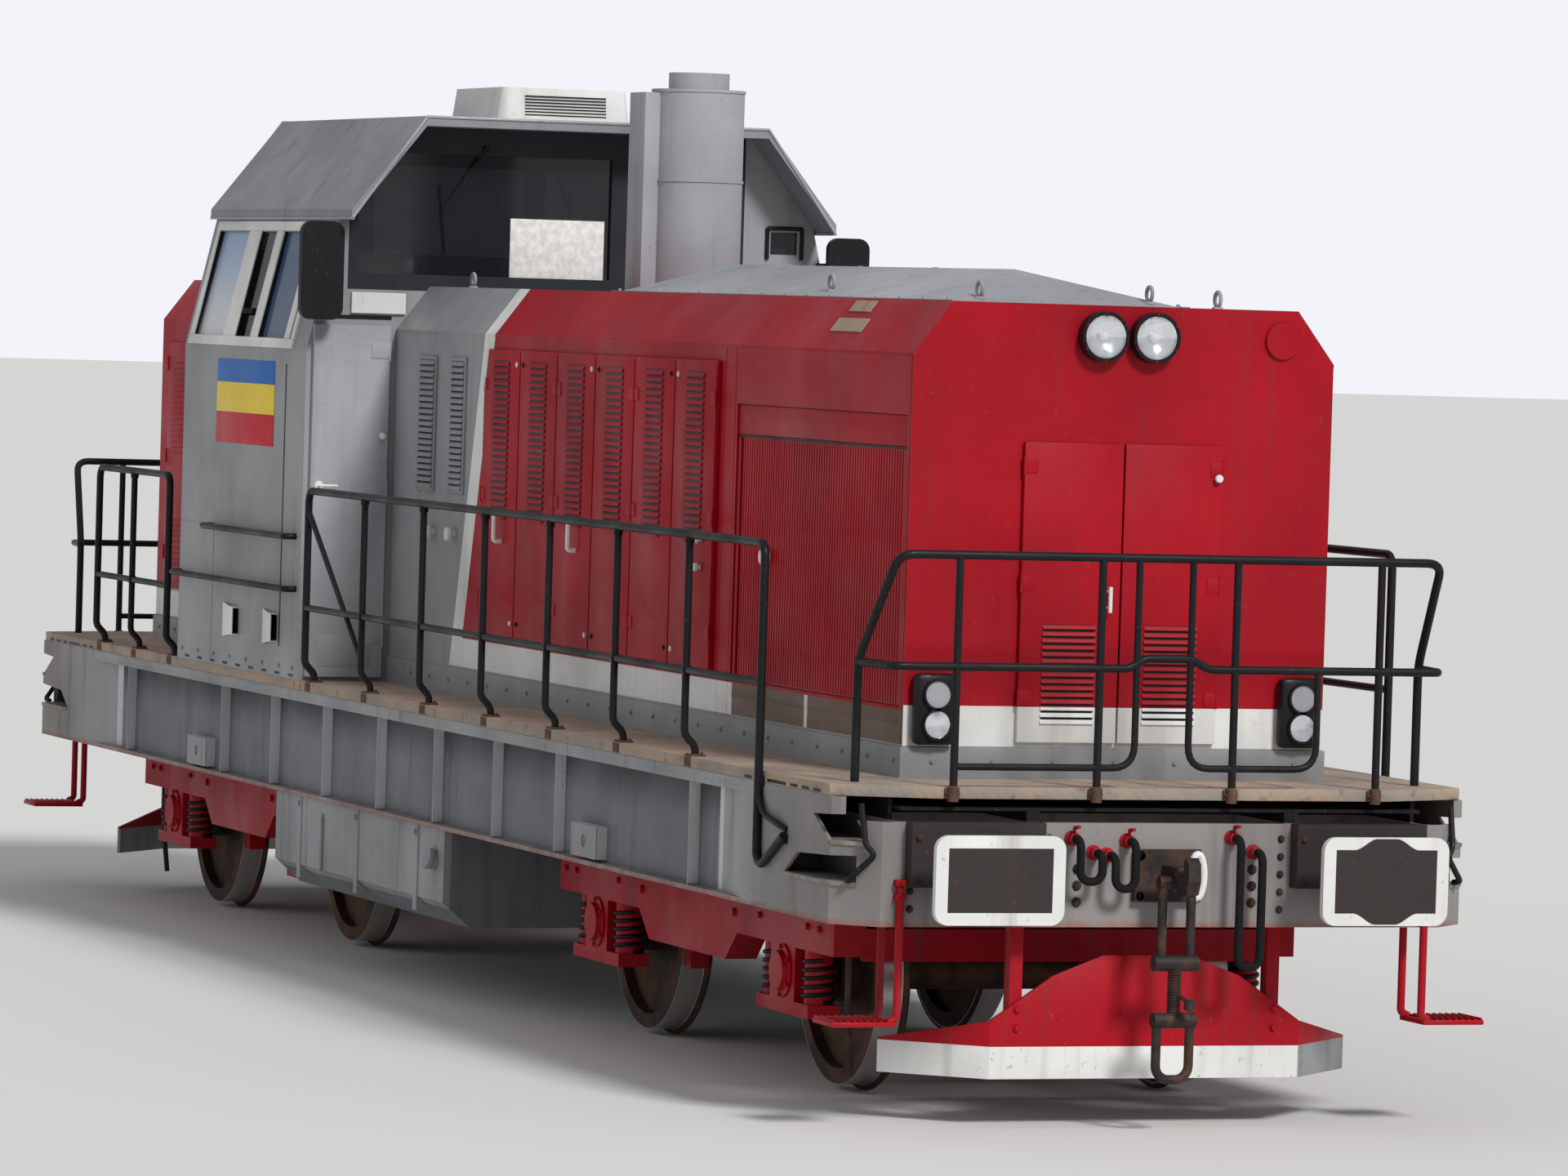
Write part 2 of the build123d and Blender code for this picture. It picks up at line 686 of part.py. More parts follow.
def end_window(y0, y1, z):
    """Outline of a window in an end wall; its upper outer corner follows the roof."""
    outer = max(abs(y0), abs(y1))
    sign = 1 if abs(y1) > abs(y0) else -1
    inner = y0 if sign > 0 else y1
    shoulder = min(z[1], roof_under(outer) - roof_margin)
    if shoulder == z[1]:
        return [(y0, z[0]), (y1, z[0]), (y1, z[1]), (y0, z[1])]
    slope = (roof_z - roof_sheet - eave_z) / (eave_half - roof_half)
    cut_y = eave_half - (z[1] + roof_margin - eave_z) / slope
    return [(inner, z[0]), (sign * outer, z[0]), (sign * outer, shoulder), (sign * cut_y, z[1]), (inner, z[1])]


def window_plane(side, depth):
    """Plane on the leaning side wall, its origin at the sill, z outwards."""
    up = Vector(0, side * lean_plane_slope.Y, lean_plane_slope.Z)
    out = Vector(0, side * up.Z, -side * up.Y)
    centre_x = sum(side_window_x) / 2
    origin = Vector(centre_x, side * cab_half, sill_z) + out * depth
    return Plane(origin=origin, x_dir=Vector(side * -1, 0, 0), z_dir=out)


window_width = side_window_x[1] - side_window_x[0]
opening = (window_width - 2 * window_frame, side_window_rise - 2 * window_frame)


def window_pad(side, size, depth, thick, mode=Mode.ADD):
    """Rectangular plate parallel to the leaning wall, centred on the window."""
    with BuildSketch(window_plane(side, depth)) as profile:
        with Locations((0, side_window_rise / 2)):
            Rectangle(*size)
    extrude(profile.sketch, amount=thick, mode=mode)


for side, side_name in ((-1, "right"), (1, "left")):
    with BuildPart() as cab_side:
        along_x([(side * y, z) for y, z in side_outline], cab_rear, cab_front)
        window_pad(side, opening, -cab_wall - 20, cab_wall + 40, Mode.SUBTRACT)
    save(cab_side.part, f"cab_{side_name}_wall")

inside_half = cab_half - cab_wall
end_outline = [(inside_half, deck_z), (inside_half, sill_z), (inner_top_y, roof_under(inner_top_y)),
               (roof_half, roof_under(roof_half))]
end_outline = end_outline + [(-y, z) for y, z in reversed(end_outline)]
front_openings = [
    (windscreen_left, windscreen_z), (windscreen_right, windscreen_z), (small_window_y, small_window_z),
]
rear_openings = [((-rear_window_half, rear_window_half), rear_window_z)]
for side in (-1, 1):
    rear_openings.append((span(side, rear_window_half + 110, 1090), rear_window_z))

with BuildPart() as cab_front_wall:
    along_x(end_outline, cab_front - cab_wall, cab_front)
    through = (cab_front - cab_wall - 10, cab_front + 10)
    for y, z in front_openings:
        along_x(end_window(*y, z), *through, Mode.SUBTRACT)
    for side in (-1, 1):
        block(through, span(side, cab_door_y[0] + door_lap, inside_half - 10),
              (cab_door_z[0] + door_lap + 9, cab_door_z[1] - door_lap), Mode.SUBTRACT)
save(cab_front_wall.part, "cab_front_wall")

with BuildPart() as cab_rear_wall:
    along_x(end_outline, cab_rear, cab_rear + cab_wall)
    through = (cab_rear - 10, cab_rear + cab_wall + 10)
    for y, z in rear_openings:
        along_x(end_window(*y, z), *through, Mode.SUBTRACT)
save(cab_rear_wall.part, "cab_rear_wall")

# Panes in the openings
with BuildPart() as cab_windows:
    for y, z in front_openings:
        along_x(end_window(*y, z), cab_front - 30, cab_front - 30 + pane)
    for y, z in rear_openings:
        along_x(end_window(*y, z), cab_rear + 22, cab_rear + 22 + pane)
    for side in (-1, 1):
        window_pad(side, opening, -30, pane)
save(cab_windows.part, "cab_windows")

# Pale frames round the side windows, with the sliding panes' middle bars
with BuildPart() as window_frames:
    for side in (-1, 1):
        window_pad(side, (window_width, side_window_rise), 0, frame_out)
        window_pad(side, opening, -10, frame_out + 20, Mode.SUBTRACT)
        bar = window_plane(side, -30 + pane)
        for shift in (-110, 120):
            with BuildSketch(bar) as profile:
                with Locations((shift, side_window_rise / 2)):
                    Rectangle(46, opening[1])
            extrude(profile.sketch, amount=30)
save(window_frames.part, "window_frames")

with BuildPart() as cab_floor:
    block((cab_rear + cab_wall, cab_front - cab_wall), (-inside_half, inside_half), (deck_z, deck_z + floor_thick))
save(cab_floor.part, "cab_floor")

roof_outline = [
    (eave_half, eave_z), (eave_half, eave_z + roof_sheet), (roof_half, roof_z), (-roof_half, roof_z),
    (-eave_half, eave_z + roof_sheet), (-eave_half, eave_z), (-roof_half, roof_z - roof_sheet),
    (roof_half, roof_z - roof_sheet),
]
with BuildPart() as cab_roof:
    along_x(roof_outline, roof_rear, roof_front)
save(cab_roof.part, "cab_roof")

# Cab doors beside the hood
for side, side_name in ((-1, "right"), (1, "left")):
    with BuildPart() as cab_door:
        block((cab_front + seat_gap, cab_front + seat_gap + cab_door_thick), span(side, *cab_door_y), cab_door_z)
    save(cab_door.part, f"cab_{side_name}_door")

# Control desk with a sloping panel, and two seats
floor_z = deck_z + floor_thick
desk_front = cab_front - cab_wall
with BuildPart() as control_desk:
    desk_side = [
        (desk_front, floor_z), (desk_front, 2480), (desk_front - 180, 2480), (desk_front - 620, 2330),
        (desk_front - 620, 2250), (desk_front - 330, 2230), (desk_front - 330, floor_z),
    ]
    along_y(desk_side, -850, 150)
save(control_desk.part, "control_desk")

with BuildPart() as driver_seats:
    for x, y, back in ((-2450, -350, -1), (-2700, 650, 1)):
        rod((x, y, floor_z), (x, y, 1930), 60)
        block((x - 230, x + 230), (y - 230, y + 230), (1920, 2020))
        block((x + back * 150, x + back * 230), (y - 210, y + 210), (2010, 2600))
save(driver_seats.part, "driver_seats")

# Mirrors on arms from the cab's front wall
with BuildPart() as mirrors:
    for side in (-1, 1):
        with BuildSketch(Plane(origin=(-1240, side * 1426, 3535), x_dir=(0, 1, 0), z_dir=(1, 0, 0))):
            RectangleRounded(226, 500, 60)
        extrude(amount=45)
        for y, z in ((1345, 3420), (1317, 3640)):
            rod((cab_front, side * y, z), (-1235, side * y, z), 12)
save(mirrors.part, "mirrors")

# Air conditioner on the cab roof
with BuildPart() as air_conditioner:
    with BuildSketch(Plane.XY.offset(roof_z)):
        with Locations((-1825, -80)):
            RectangleRounded(850, 720, 60)
    extrude(amount=172, taper=8)
save(air_conditioner.part, "air_conditioner")

# Grab rails on the cab sides
cab_grabs = [
    # rear x, front x, z
    (-3000, -1460, 2173),
    (-3560, -1440, 1905),
]
with BuildPart() as cab_grab_rails:
    for side in (-1, 1):
        for x0, x1, z in cab_grabs:
            y_wall = side * cab_half
            y_out = side * (cab_half + 60)
            tube([(x0, y_wall, z), (x0, y_out, z), (x1, y_out, z), (x1, y_wall, z)], 16, 30)
save(cab_grab_rails.part, "cab_grab_rails")

# Side handrails: a bent outer tube, a middle tube and posts whose feet turn in onto the deck
rail_end_x = post_first + (post_count - 1) * post_pitch


def rising(x, y_sign):
    """Points of a post's foot, from the deck up to the bend where the post stands upright."""
    foot_y = y_sign * post_foot_y
    return [(x, foot_y, deck_z), (x, foot_y, deck_z + foot_rise), (x, y_sign * rail_y, deck_z + post_bend)]


with BuildPart() as side_handrails:
    for side in (-1, 1):
        y = side * rail_y
        front_run = rising(post_first, side) + [
            (post_first, y, rail_top), (rail_end_x, y, rail_top), (rail_end_x, y, hook_low),
            (rail_end_x + hook_run, y, hook_high),
        ]
        tube(front_run, rail_radius, rail_bend)
        rod((post_first, y, rail_mid), (rail_end_x, y, rail_mid), post_radius)
        rod((post_first, y, rail_top - 100), (post_first + post_pitch, y, deck_z + 165), brace_radius)
        for number in range(1, post_count - 1):
            x = post_first + number * post_pitch
            tube(rising(x, side) + [(x, y, rail_top)], post_radius, rail_bend)
        block((rail_end_x - 25, rail_end_x + 25), span(side, frame_half, rail_y), (1380, 1420))
        block((rail_end_x + hook_run - 45, rail_end_x + hook_run - 5), span(side, frame_half, rail_y),
              (hook_high - 35, hook_high))
        rear_run = rising(rear_post_x[0], side) + [(rear_post_x[0], y, rail_top), (rear_post_x[-1], y, rail_top)]
        tube(rear_run + rising(rear_post_x[-1], side)[::-1], rail_radius, rail_bend)
        rod((rear_post_x[0], y, rail_mid), (rear_post_x[-1], y, rail_mid), post_radius)
        tube(rising(rear_post_x[1], side) + [(rear_post_x[1], y, rail_top)], post_radius, rail_bend)
save(side_handrails.part, "side_handrails")

# End handrails: a top tube bent back to the corner posts, lower frames each side of the middle gap
end_posts = (-950, -315, 290, 1020)
gap_y = (-190, 95)
low_rail = 1540
with BuildPart() as end_handrails:
    for end in (-1, 1):
        x = end * end_rail_x
        corner = end * corner_post[0]
        top_run = [
            (corner, -corner_post[1], deck_z), (corner, -corner_post[1], rail_mid + 120), (x, -1240, rail_top),
            (x, 1240, rail_top), (corner, corner_post[1], rail_mid + 120), (corner, corner_post[1], deck_z),
        ]
        tube(top_run, rail_radius, rail_bend)
        mid = rail_mid + 100
        mid_run = [(corner, -corner_post[1], mid), (x, -1200, mid), (x, 1200, mid), (corner, corner_post[1], mid)]
        tube(mid_run, rail_radius, rail_bend)
        for y in end_posts:
            rod((x, y, frame_top + 20), (x, y, rail_top), post_radius)
        for y in gap_y:
            rod((x, y, low_rail), (x, y, rail_top), post_radius)
        for y0, y1 in ((end_posts[0], gap_y[0]), (gap_y[1], end_posts[3])):
            rod((x, y0, low_rail), (x, y1, low_rail), brace_radius)
        for y in end_posts:
            block((end * deck_front, x), (y - 30, y + 30), (frame_top + 20, frame_top + 60))
save(end_handrails.part, "end_handrails")
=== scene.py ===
"""Looks of the four-axle diesel road-switcher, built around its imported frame.

Metres, in the frame's own axes: +X is the front, +Z is up, the photograph shows the -Y side.
"""
import math

import bmesh
import bpy
from mathutils import Matrix, Vector


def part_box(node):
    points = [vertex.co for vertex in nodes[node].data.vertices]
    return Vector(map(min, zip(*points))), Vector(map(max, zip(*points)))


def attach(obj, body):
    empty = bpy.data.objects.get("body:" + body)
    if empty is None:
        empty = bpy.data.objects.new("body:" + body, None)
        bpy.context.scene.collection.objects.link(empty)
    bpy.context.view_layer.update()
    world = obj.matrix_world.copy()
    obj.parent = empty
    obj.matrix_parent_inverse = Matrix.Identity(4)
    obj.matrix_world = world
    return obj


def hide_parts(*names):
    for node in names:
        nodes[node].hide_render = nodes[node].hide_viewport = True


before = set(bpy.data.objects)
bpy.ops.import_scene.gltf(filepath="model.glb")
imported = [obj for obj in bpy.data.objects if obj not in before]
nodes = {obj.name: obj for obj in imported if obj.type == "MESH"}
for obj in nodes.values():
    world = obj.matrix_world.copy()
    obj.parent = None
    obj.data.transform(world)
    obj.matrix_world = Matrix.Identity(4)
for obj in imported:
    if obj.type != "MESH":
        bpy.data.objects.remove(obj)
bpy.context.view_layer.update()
SIDES = ((-1, "right"), (1, "left"))
ENDS = ((1, "front"), (-1, "rear"))
UP = (0, 0, 1)
AHEAD = (1, 0, 0)
BEHIND = (-1, 0, 0)
OUT = (0, 1, 0)

# Camera: the photograph's station point, turned to the locomotive
CAMERA_AT = (36.504, -12.893, 3.433)
CAMERA_TARGET = (0, 0.676, 2.009)
CAMERA_ROLL = 1.743
CAMERA_LENS = 178

# Lamps: where each shines from, its strength and the width of its disc in degrees
SUNS = {"key_sun": ((1.0, 0.22, 0.85), 2.4, 12), "fill_sun": ((-0.6, -1.0, 0.7), 0.2, 60)}
SKY = (0.93, 0.95, 1.0, 1)
SKY_LIGHT, SKY_SEEN = 0.40, 0.95

# Driving places, from the frame or as in the solids
deck_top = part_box("deck")[1].z
deck_edge = deck_top - 0.050
cab_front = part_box("cab_front_wall")[1].x
cab_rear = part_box("cab_rear_wall")[0].x
cab_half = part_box("cab_right_wall")[0].y * -1
beam_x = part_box("end_beams")[1].x
rear_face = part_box("rear_hood")[0].x + 0.012
HOOD_FRONT, HOOD_HALF, HOOD_SHOULDER = 5.928, 0.972, 3.245
HOOD_BAND = (1.585, 1.728)
LEAF_FACE = 0.9973
DOOR_FACE = HOOD_FRONT + 0.0253
SILL = 3.130
GIRDER_EDGE = 1.4478
RAIL_LINE = 1.468
LAMP_Y, LAMP_Z, LAMP_RADIUS = 0.118, 3.337, 0.092
PLINTH = {1: HOOD_FRONT + 0.012, -1: 5.742}
PLINTH_BOLTS = 1.515
BUFFER_Y, BUFFER_Z = 0.875, 1.080
PIVOT_X, AXLE_REACH, AXLE_Z = 3.6, 1.25, 0.528


def screen(red, green, blue):
    """Linear colour of a screen colour from 0 to 255."""
    linear = []
    for value in (red, green, blue):
        share = value / 255
        linear.append(share / 12.92 if share <= 0.04045 else ((share + 0.055) / 1.055) ** 2.4)
    return (*linear, 1)


RED = screen(164, 9, 28)
GREY = screen(150, 152, 154)
PALE_GREY = screen(164, 165, 169)
ROOF_GREY = screen(140, 142, 146)
WHITE = screen(226, 226, 222)
TAN = screen(172, 152, 132)
BROWN = screen(112, 92, 78)
BLACK = screen(26, 26, 29)
RUST = screen(120, 82, 62)
DIRT = screen(70, 58, 50)
DARK_STEEL = screen(58, 52, 50)


class Graph:
    """A material with short calls for the nodes used here. Patterns lie in the object's own metres."""

    def __init__(self, name):
        self.material = bpy.data.materials.new(name)
        self.material.use_nodes = True
        self.tree = self.material.node_tree
        self.shader = self.tree.nodes["Principled BSDF"]
        self.point = self.node("ShaderNodeTexCoord").outputs["Object"]
        split = self.node("ShaderNodeSeparateXYZ", Vector=self.point)
        self.x, self.y, self.z = split.outputs

    def put(self, socket, value):
        if isinstance(value, bpy.types.NodeSocket):
            self.tree.links.new(value, socket)
        else:
            socket.default_value = value

    def node(self, kind, **inputs):
        node = self.tree.nodes.new(kind)
        for name, value in inputs.items():
            self.put(node.inputs[name], value)
        return node

    def math(self, operation, a, b=0.0):
        node = self.node("ShaderNodeMath")
        node.operation = operation
        self.put(node.inputs[0], a)
        self.put(node.inputs[1], b)
        return node.outputs[0]

    def minus(self, a, b):
        return self.math("SUBTRACT", a, b)

    def size(self, value):
        return self.math("ABSOLUTE", value)

    def both(self, a, b):
        return self.math("MULTIPLY", a, b)

    def above(self, value, edge):
        return self.math("GREATER_THAN", value, edge)

    def below(self, value, edge):
        return self.math("LESS_THAN", value, edge)

    def between(self, value, low, high):
        """1 where value lies between low and high."""
        return self.both(self.above(value, low), self.below(value, high))

    def ramp(self, value, low, high, to_low=0.0, to_high=1.0):
        """Smooth step of value from low to high."""
        node = self.node("ShaderNodeMapRange", Value=value)
        node.interpolation_type = "SMOOTHSTEP"
        for socket, number in zip(list(node.inputs)[1:5], (low, high, to_low, to_high)):
            self.put(socket, number)
        return node.outputs["Result"]

    def noise(self, scale, stretch=(1, 1, 1), detail=4.0, rough=0.55):
        mapped = self.node("ShaderNodeMapping", Vector=self.point, Scale=stretch)
        node = self.node("ShaderNodeTexNoise", Vector=mapped.outputs[0], Scale=scale, Detail=detail,
                         Roughness=rough)
        return node.outputs["Fac"]

    def blend(self, share, a, b):
        node = self.node("ShaderNodeMix")
        node.data_type = "RGBA"
        for index, value in ((0, share), (6, a), (7, b)):
            self.put(node.inputs[index], value)
        return node.outputs[2]

    def brighten(self, colour, scale, low, high, detail=4.0):
        """Colour made darker and lighter by a noise, from low to high times its value."""
        amount = self.ramp(self.noise(scale, detail=detail), 0.3, 0.7, low, high)
        return self.node("ShaderNodeHueSaturation", Color=colour, Value=amount).outputs["Color"]

    def bump(self, height, distance, strength=1.0, under=None):
        node = self.node("ShaderNodeBump", Height=height, Distance=distance, Strength=strength)
        if under is not None:
            self.put(node.inputs["Normal"], under)
        return node.outputs["Normal"]

    def finish(self, colour, rough, metallic=0.0, normal=None, coat=0.0):
        self.put(self.shader.inputs["Base Color"], colour)
        self.put(self.shader.inputs["Roughness"], rough)
        self.shader.inputs["Metallic"].default_value = metallic
        self.shader.inputs["Coat Weight"].default_value = coat
        self.shader.inputs["Specular IOR Level"].default_value = 0.18
        if normal is not None:
            self.put(self.shader.inputs["Normal"], normal)
        return self.material


def weathered_paint(name, colour, dirt, gloss, paint=None):
    """Old gloss paint over a colour or a paint function: faded patches, rain streaks and fine rust specks."""
    graph = Graph(name)
    base = graph.brighten(paint(graph) if paint else colour, 1.3, 0.84, 1.12, detail=5.0)
    streak = graph.ramp(graph.noise(1.0, (9, 9, 0.55), 6.0), 0.52, 0.78, 0.0, dirt)
    base = graph.blend(streak, base, DIRT)
    speck = graph.ramp(graph.noise(34.0, detail=2.0), 0.66, 0.74, 0.0, dirt * 0.9)
    base = graph.blend(speck, base, RUST)
    rough = graph.ramp(graph.noise(2.1, detail=6.0), 0.3, 0.7, *gloss)
    waves = graph.bump(graph.noise(1.7, detail=1.0), 0.010, 0.5)
    skin = graph.bump(graph.noise(55.0, detail=2.0), 0.0006, 0.4, waves)
    return graph.finish(base, rough, normal=skin, coat=0.04)


def hood_colours(graph):
    """Hoods: red ahead of a slanting white line, grey behind it, pale bands along the base, a red rear hood."""
    band_start, tan_start, seam_start, tan_end = -0.24, 3.80, 4.73, HOOD_FRONT - 0.002
    slant = graph.both(graph.minus(graph.math("MINIMUM", graph.z, HOOD_SHOULDER), 1.641), 0.262)
    line = graph.minus(graph.minus(graph.x, -0.19), slant)
    colour = graph.blend(graph.above(line, 0.0), GREY, RED)
    colour = graph.blend(graph.between(line, -0.13, 0.03), colour, WHITE)
    colour = graph.blend(graph.between(graph.z, -1, HOOD_BAND[0]), colour, GREY)
    side_band = graph.between(graph.z, *HOOD_BAND)
    for x0, x1, paint in ((band_start, tan_start, WHITE), (tan_start, tan_end, BROWN),
                          (seam_start, seam_start + 0.04, WHITE)):
        colour = graph.blend(graph.both(side_band, graph.between(graph.x, x0, x1)), colour, paint)
    front_band = graph.both(graph.above(graph.x, tan_end), graph.between(graph.z, 1.580, 1.752))
    colour = graph.blend(front_band, colour, WHITE)
    behind = graph.below(graph.x, cab_rear)
    colour = graph.blend(graph.both(behind, graph.above(graph.z, 1.74)), colour, RED)
    return graph.blend(graph.both(behind, side_band), colour, WHITE)


def cab_colours(graph):
    """Grey cab, with painted shade of the roof's edge round the front window."""
    # painted shade: the front wall under the roof's edge is coloured dark grey
    high = graph.both(graph.above(graph.x, -1.420), graph.above(graph.z, 3.445))
    near = graph.both(high, graph.between(graph.y, -1.240, 0.90))
    return graph.blend(near, GREY, screen(44, 46, 50))


def window_colours(graph):
    """Panes: painted sky reflections at the sides, paler lower down and palest on the rear pane; painted shade on
    the front pane and in the open gap.
    """
    side = graph.above(graph.size(graph.y), 1.20)
    rear_pane = graph.below(graph.x, -2.80)
    open_gap = graph.between(graph.x, -2.70, -2.40)
    # painted reflection: sky colours on the side panes, paler towards the bottom, the rear pane palest
    height = graph.ramp(graph.z, 3.20, 3.75)
    pale = graph.blend(height, screen(252, 253, 255), screen(168, 198, 236))
    blue = graph.blend(height, screen(96, 116, 146), screen(70, 96, 140))
    # painted shade: the open gap is coloured flat dark
    pane = graph.blend(open_gap, graph.blend(rear_pane, blue, pale), screen(26, 22, 22))
    # painted shade: the front pane is coloured flat dark for the shaded cab behind it
    return graph.blend(side, screen(20, 24, 28), pane)


def frame_colours(graph):
    """Grey frame: rusty lower edge, dull ends, painted shade on the web, darkest at its top, the rib faces painted
    light as if lit, and painted shadow under the deck's ends.
    """
    flange_foot, web_line, flange_line = 0.8595, 1.3925, 1.4395
    along, out = graph.size(graph.x), graph.size(graph.y)
    low = graph.ramp(graph.math("ADD", graph.z, graph.both(graph.noise(6.0), 0.04)), 0.885, 0.915, 1, 0)
    worn = graph.both(low, graph.ramp(graph.noise(11.0), 0.3, 0.6, 0.4, 1.0))
    worn = graph.both(worn, graph.above(graph.z, flange_foot))
    colour = graph.blend(graph.ramp(along, 5.0, 6.3, 0.0, 0.65), GREY, screen(134, 124, 118))
    colour = graph.blend(worn, colour, screen(150, 108, 100))
    # painted shade: the web is darker than the frame, darkest at its top under the deck
    web = graph.both(graph.below(along, 5.29), graph.below(out, web_line))
    shade = graph.blend(graph.ramp(graph.z, 1.12, 1.34), screen(116, 118, 122), screen(70, 72, 76))
    colour = graph.blend(web, colour, shade)
    # painted light: faces between the web and the flange's edge, the ribs among them, are coloured light as if lit
    clear_of_flange = graph.both(graph.above(graph.z, 0.888), graph.below(along, 4.93))
    rib_highlight = graph.both(clear_of_flange, graph.between(out, web_line, flange_line))
    colour = graph.blend(rib_highlight, colour, screen(196, 196, 198))
    # painted shadow: near black under the deck's ends, over the end beams
    under = graph.both(graph.above(along, 5.9), graph.above(graph.z, 1.2995))
    return graph.blend(graph.both(under, graph.below(out, 1.385)), colour, screen(22, 22, 24))


def plough_colours(graph):
    """Red blade with a white lower band, grey on its wing."""
    band = graph.below(graph.z, 0.342)
    blade = graph.below(graph.both(graph.y, graph.math("SIGN", graph.x)), 0.711)
    return graph.blend(graph.both(band, blade), graph.blend(band, RED, GREY), WHITE)


def buffer_colours(graph):
    """Dark buffer heads with a white rim round the striking face, notched on one of them."""
    half_wide, half_tall, rim_y, rim_z = 0.2885, 0.186, 0.055, 0.052
    y = graph.size(graph.minus(graph.size(graph.y), BUFFER_Y))
    z = graph.size(graph.minus(graph.z, BUFFER_Z))
    notch = graph.both(graph.above(graph.both(graph.x, graph.y), 0.0), graph.ramp(y, 0.045, 0.150, 0.047, 0.0))
    tall = graph.math("ADD", notch, half_tall - rim_z)
    inside = graph.both(graph.below(y, half_wide - rim_y), graph.below(z, tall))
    rim = graph.both(graph.above(graph.size(graph.x), 6.815), graph.minus(1.0, inside))
    return graph.blend(rim, DARK_STEEL, WHITE)


def band_colours(graph):
    """Three plain bands of colour."""
    colour = graph.blend(graph.above(graph.z, 2.782), screen(196, 30, 44), screen(238, 208, 70))
    return graph.blend(graph.above(graph.z, 2.938), colour, screen(52, 112, 186))


def deck_material():
    """Worn walkway plate: dusty tan over grey with a raised pattern."""
    graph = Graph("deck_plate")
    worn = graph.ramp(graph.noise(2.6, detail=7.0), 0.35, 0.65)
    colour = graph.blend(worn, TAN, screen(150, 140, 130))
    colour = graph.blend(graph.ramp(graph.noise(14.0), 0.55, 0.7, 0, 0.5), colour, RUST)
    waves = graph.node("ShaderNodeTexWave", Vector=graph.point, Scale=11.0, Distortion=0.0)
    waves.bands_direction = "DIAGONAL"
    return graph.finish(colour, 0.8, normal=graph.bump(waves.outputs["Fac"], 0.002, 0.4))


def rusty_metal(name, colour, rust, rough=0.6, metallic=0.4):
    """Bare or greasy steel with rust in patches."""
    graph = Graph(name)
    patch = graph.ramp(graph.noise(7.0, detail=7.0), 0.45, 0.62, 0.0, rust)
    base = graph.brighten(graph.blend(patch, colour, RUST), 24.0, 0.8, 1.15)
    normal = graph.bump(graph.noise(60.0, detail=5.0), 0.001, 0.5)
    return graph.finish(base, graph.ramp(patch, 0, 1, rough, 0.9), metallic=metallic, normal=normal)


def wheel_material():
    """Dark wheels with bright running treads: a thin shell of radius round each axle."""
    graph = Graph("wheel_steel")
    patch = graph.ramp(graph.noise(6.0, detail=7.0), 0.4, 0.62, 0.0, 0.6)
    dull = graph.blend(patch, screen(70, 62, 58), RUST)
    axles = (PIVOT_X + AXLE_REACH, PIVOT_X - AXLE_REACH)
    away = [graph.size(graph.minus(graph.size(graph.x), axle_x)) for axle_x in axles]
    near = graph.math("POWER", graph.math("MINIMUM", *away), 2.0)
    up = graph.math("POWER", graph.minus(graph.z, AXLE_Z), 2.0)
    tread = graph.between(graph.math("SQRT", graph.math("ADD", near, up)), 0.4975, 0.5045)
    colour = graph.blend(tread, dull, screen(176, 174, 170))
    return graph.finish(colour, graph.ramp(tread, 0, 1, 0.7, 0.25), metallic=0.7,
                        normal=graph.bump(graph.noise(40.0), 0.001, 0.4))


def glass_material(name, colour, rough=0.03, alpha=0.35, paint=None):
    graph = Graph(name)
    smear = graph.ramp(graph.noise(4.0, detail=5.0), 0.3, 0.7, rough, rough + 0.12)
    material = graph.finish(paint(graph) if paint else colour, smear)
    graph.shader.inputs["Alpha"].default_value = alpha
    graph.shader.inputs["Specular IOR Level"].default_value = 0.9
    return material


def plain_metal(name, colour, rough):
    graph = Graph(name)
    shade = graph.brighten(colour, 18.0, 0.88, 1.08)
    return graph.finish(shade, graph.ramp(graph.noise(30.0), 0.3, 0.7, rough, rough + 0.15), metallic=1.0)


def soft_material(name, colour, rough=0.85):
    graph = Graph(name)
    shade = graph.brighten(colour, 30.0, 0.85, 1.12)
    return graph.finish(shade, rough, normal=graph.bump(graph.noise(160.0), 0.0008, 0.6))


materials = {
    "hood": weathered_paint("hood_paint", RED, 0.22, (0.38, 0.58), hood_colours),
    "red": weathered_paint("red_paint", RED, 0.45, (0.4, 0.65)),
    "grey": weathered_paint("grey_paint", GREY, 0.28, (0.42, 0.62)),
    "frame": weathered_paint("frame_paint", GREY, 0.45, (0.5, 0.75), frame_colours),
    "cab": weathered_paint("cab_paint", GREY, 0.22, (0.4, 0.6), cab_colours),
    "roof": weathered_paint("roof_paint", ROOF_GREY, 0.3, (0.45, 0.65)),
    "pale": weathered_paint("pale_grey_paint", PALE_GREY, 0.25, (0.4, 0.6)),
    "white": weathered_paint("white_paint", WHITE, 0.2, (0.35, 0.55)),
    "black": weathered_paint("black_paint", BLACK, 0.2, (0.35, 0.6)),
    "plough": weathered_paint("plough_paint", RED, 0.4, (0.4, 0.6), plough_colours),
    "buffer": weathered_paint("buffer_paint", DARK_STEEL, 0.35, (0.4, 0.7), buffer_colours),
    "bands": weathered_paint("band_paint", WHITE, 0.1, (0.4, 0.6), band_colours),
    "deck": deck_material(),
    "wheel": wheel_material(),
    "steel": rusty_metal("dark_steel", DARK_STEEL, 0.35),
    "rust": rusty_metal("rusty_steel", screen(96, 74, 62), 0.7, 0.75, 0.2),
    "glass": glass_material("window_glass", WHITE, alpha=0.72, paint=window_colours),
    "lens": glass_material("lamp_glass", screen(236, 240, 244), 0.02, 0.25),
    "chrome": plain_metal("lamp_reflector", screen(236, 238, 240), 0.08),
    "rubber": soft_material("black_rubber", screen(24, 24, 26)),
    "seat": soft_material("seat_cloth", screen(44, 46, 54)),
    "board": soft_material("white_board", screen(232, 228, 224), 0.7),
    "tan": weathered_paint("tan_paint", TAN, 0.3, (0.6, 0.8)),
    "tread": rusty_metal("tread_plate", screen(150, 144, 136), 0.3, 0.6, 0.3),
}

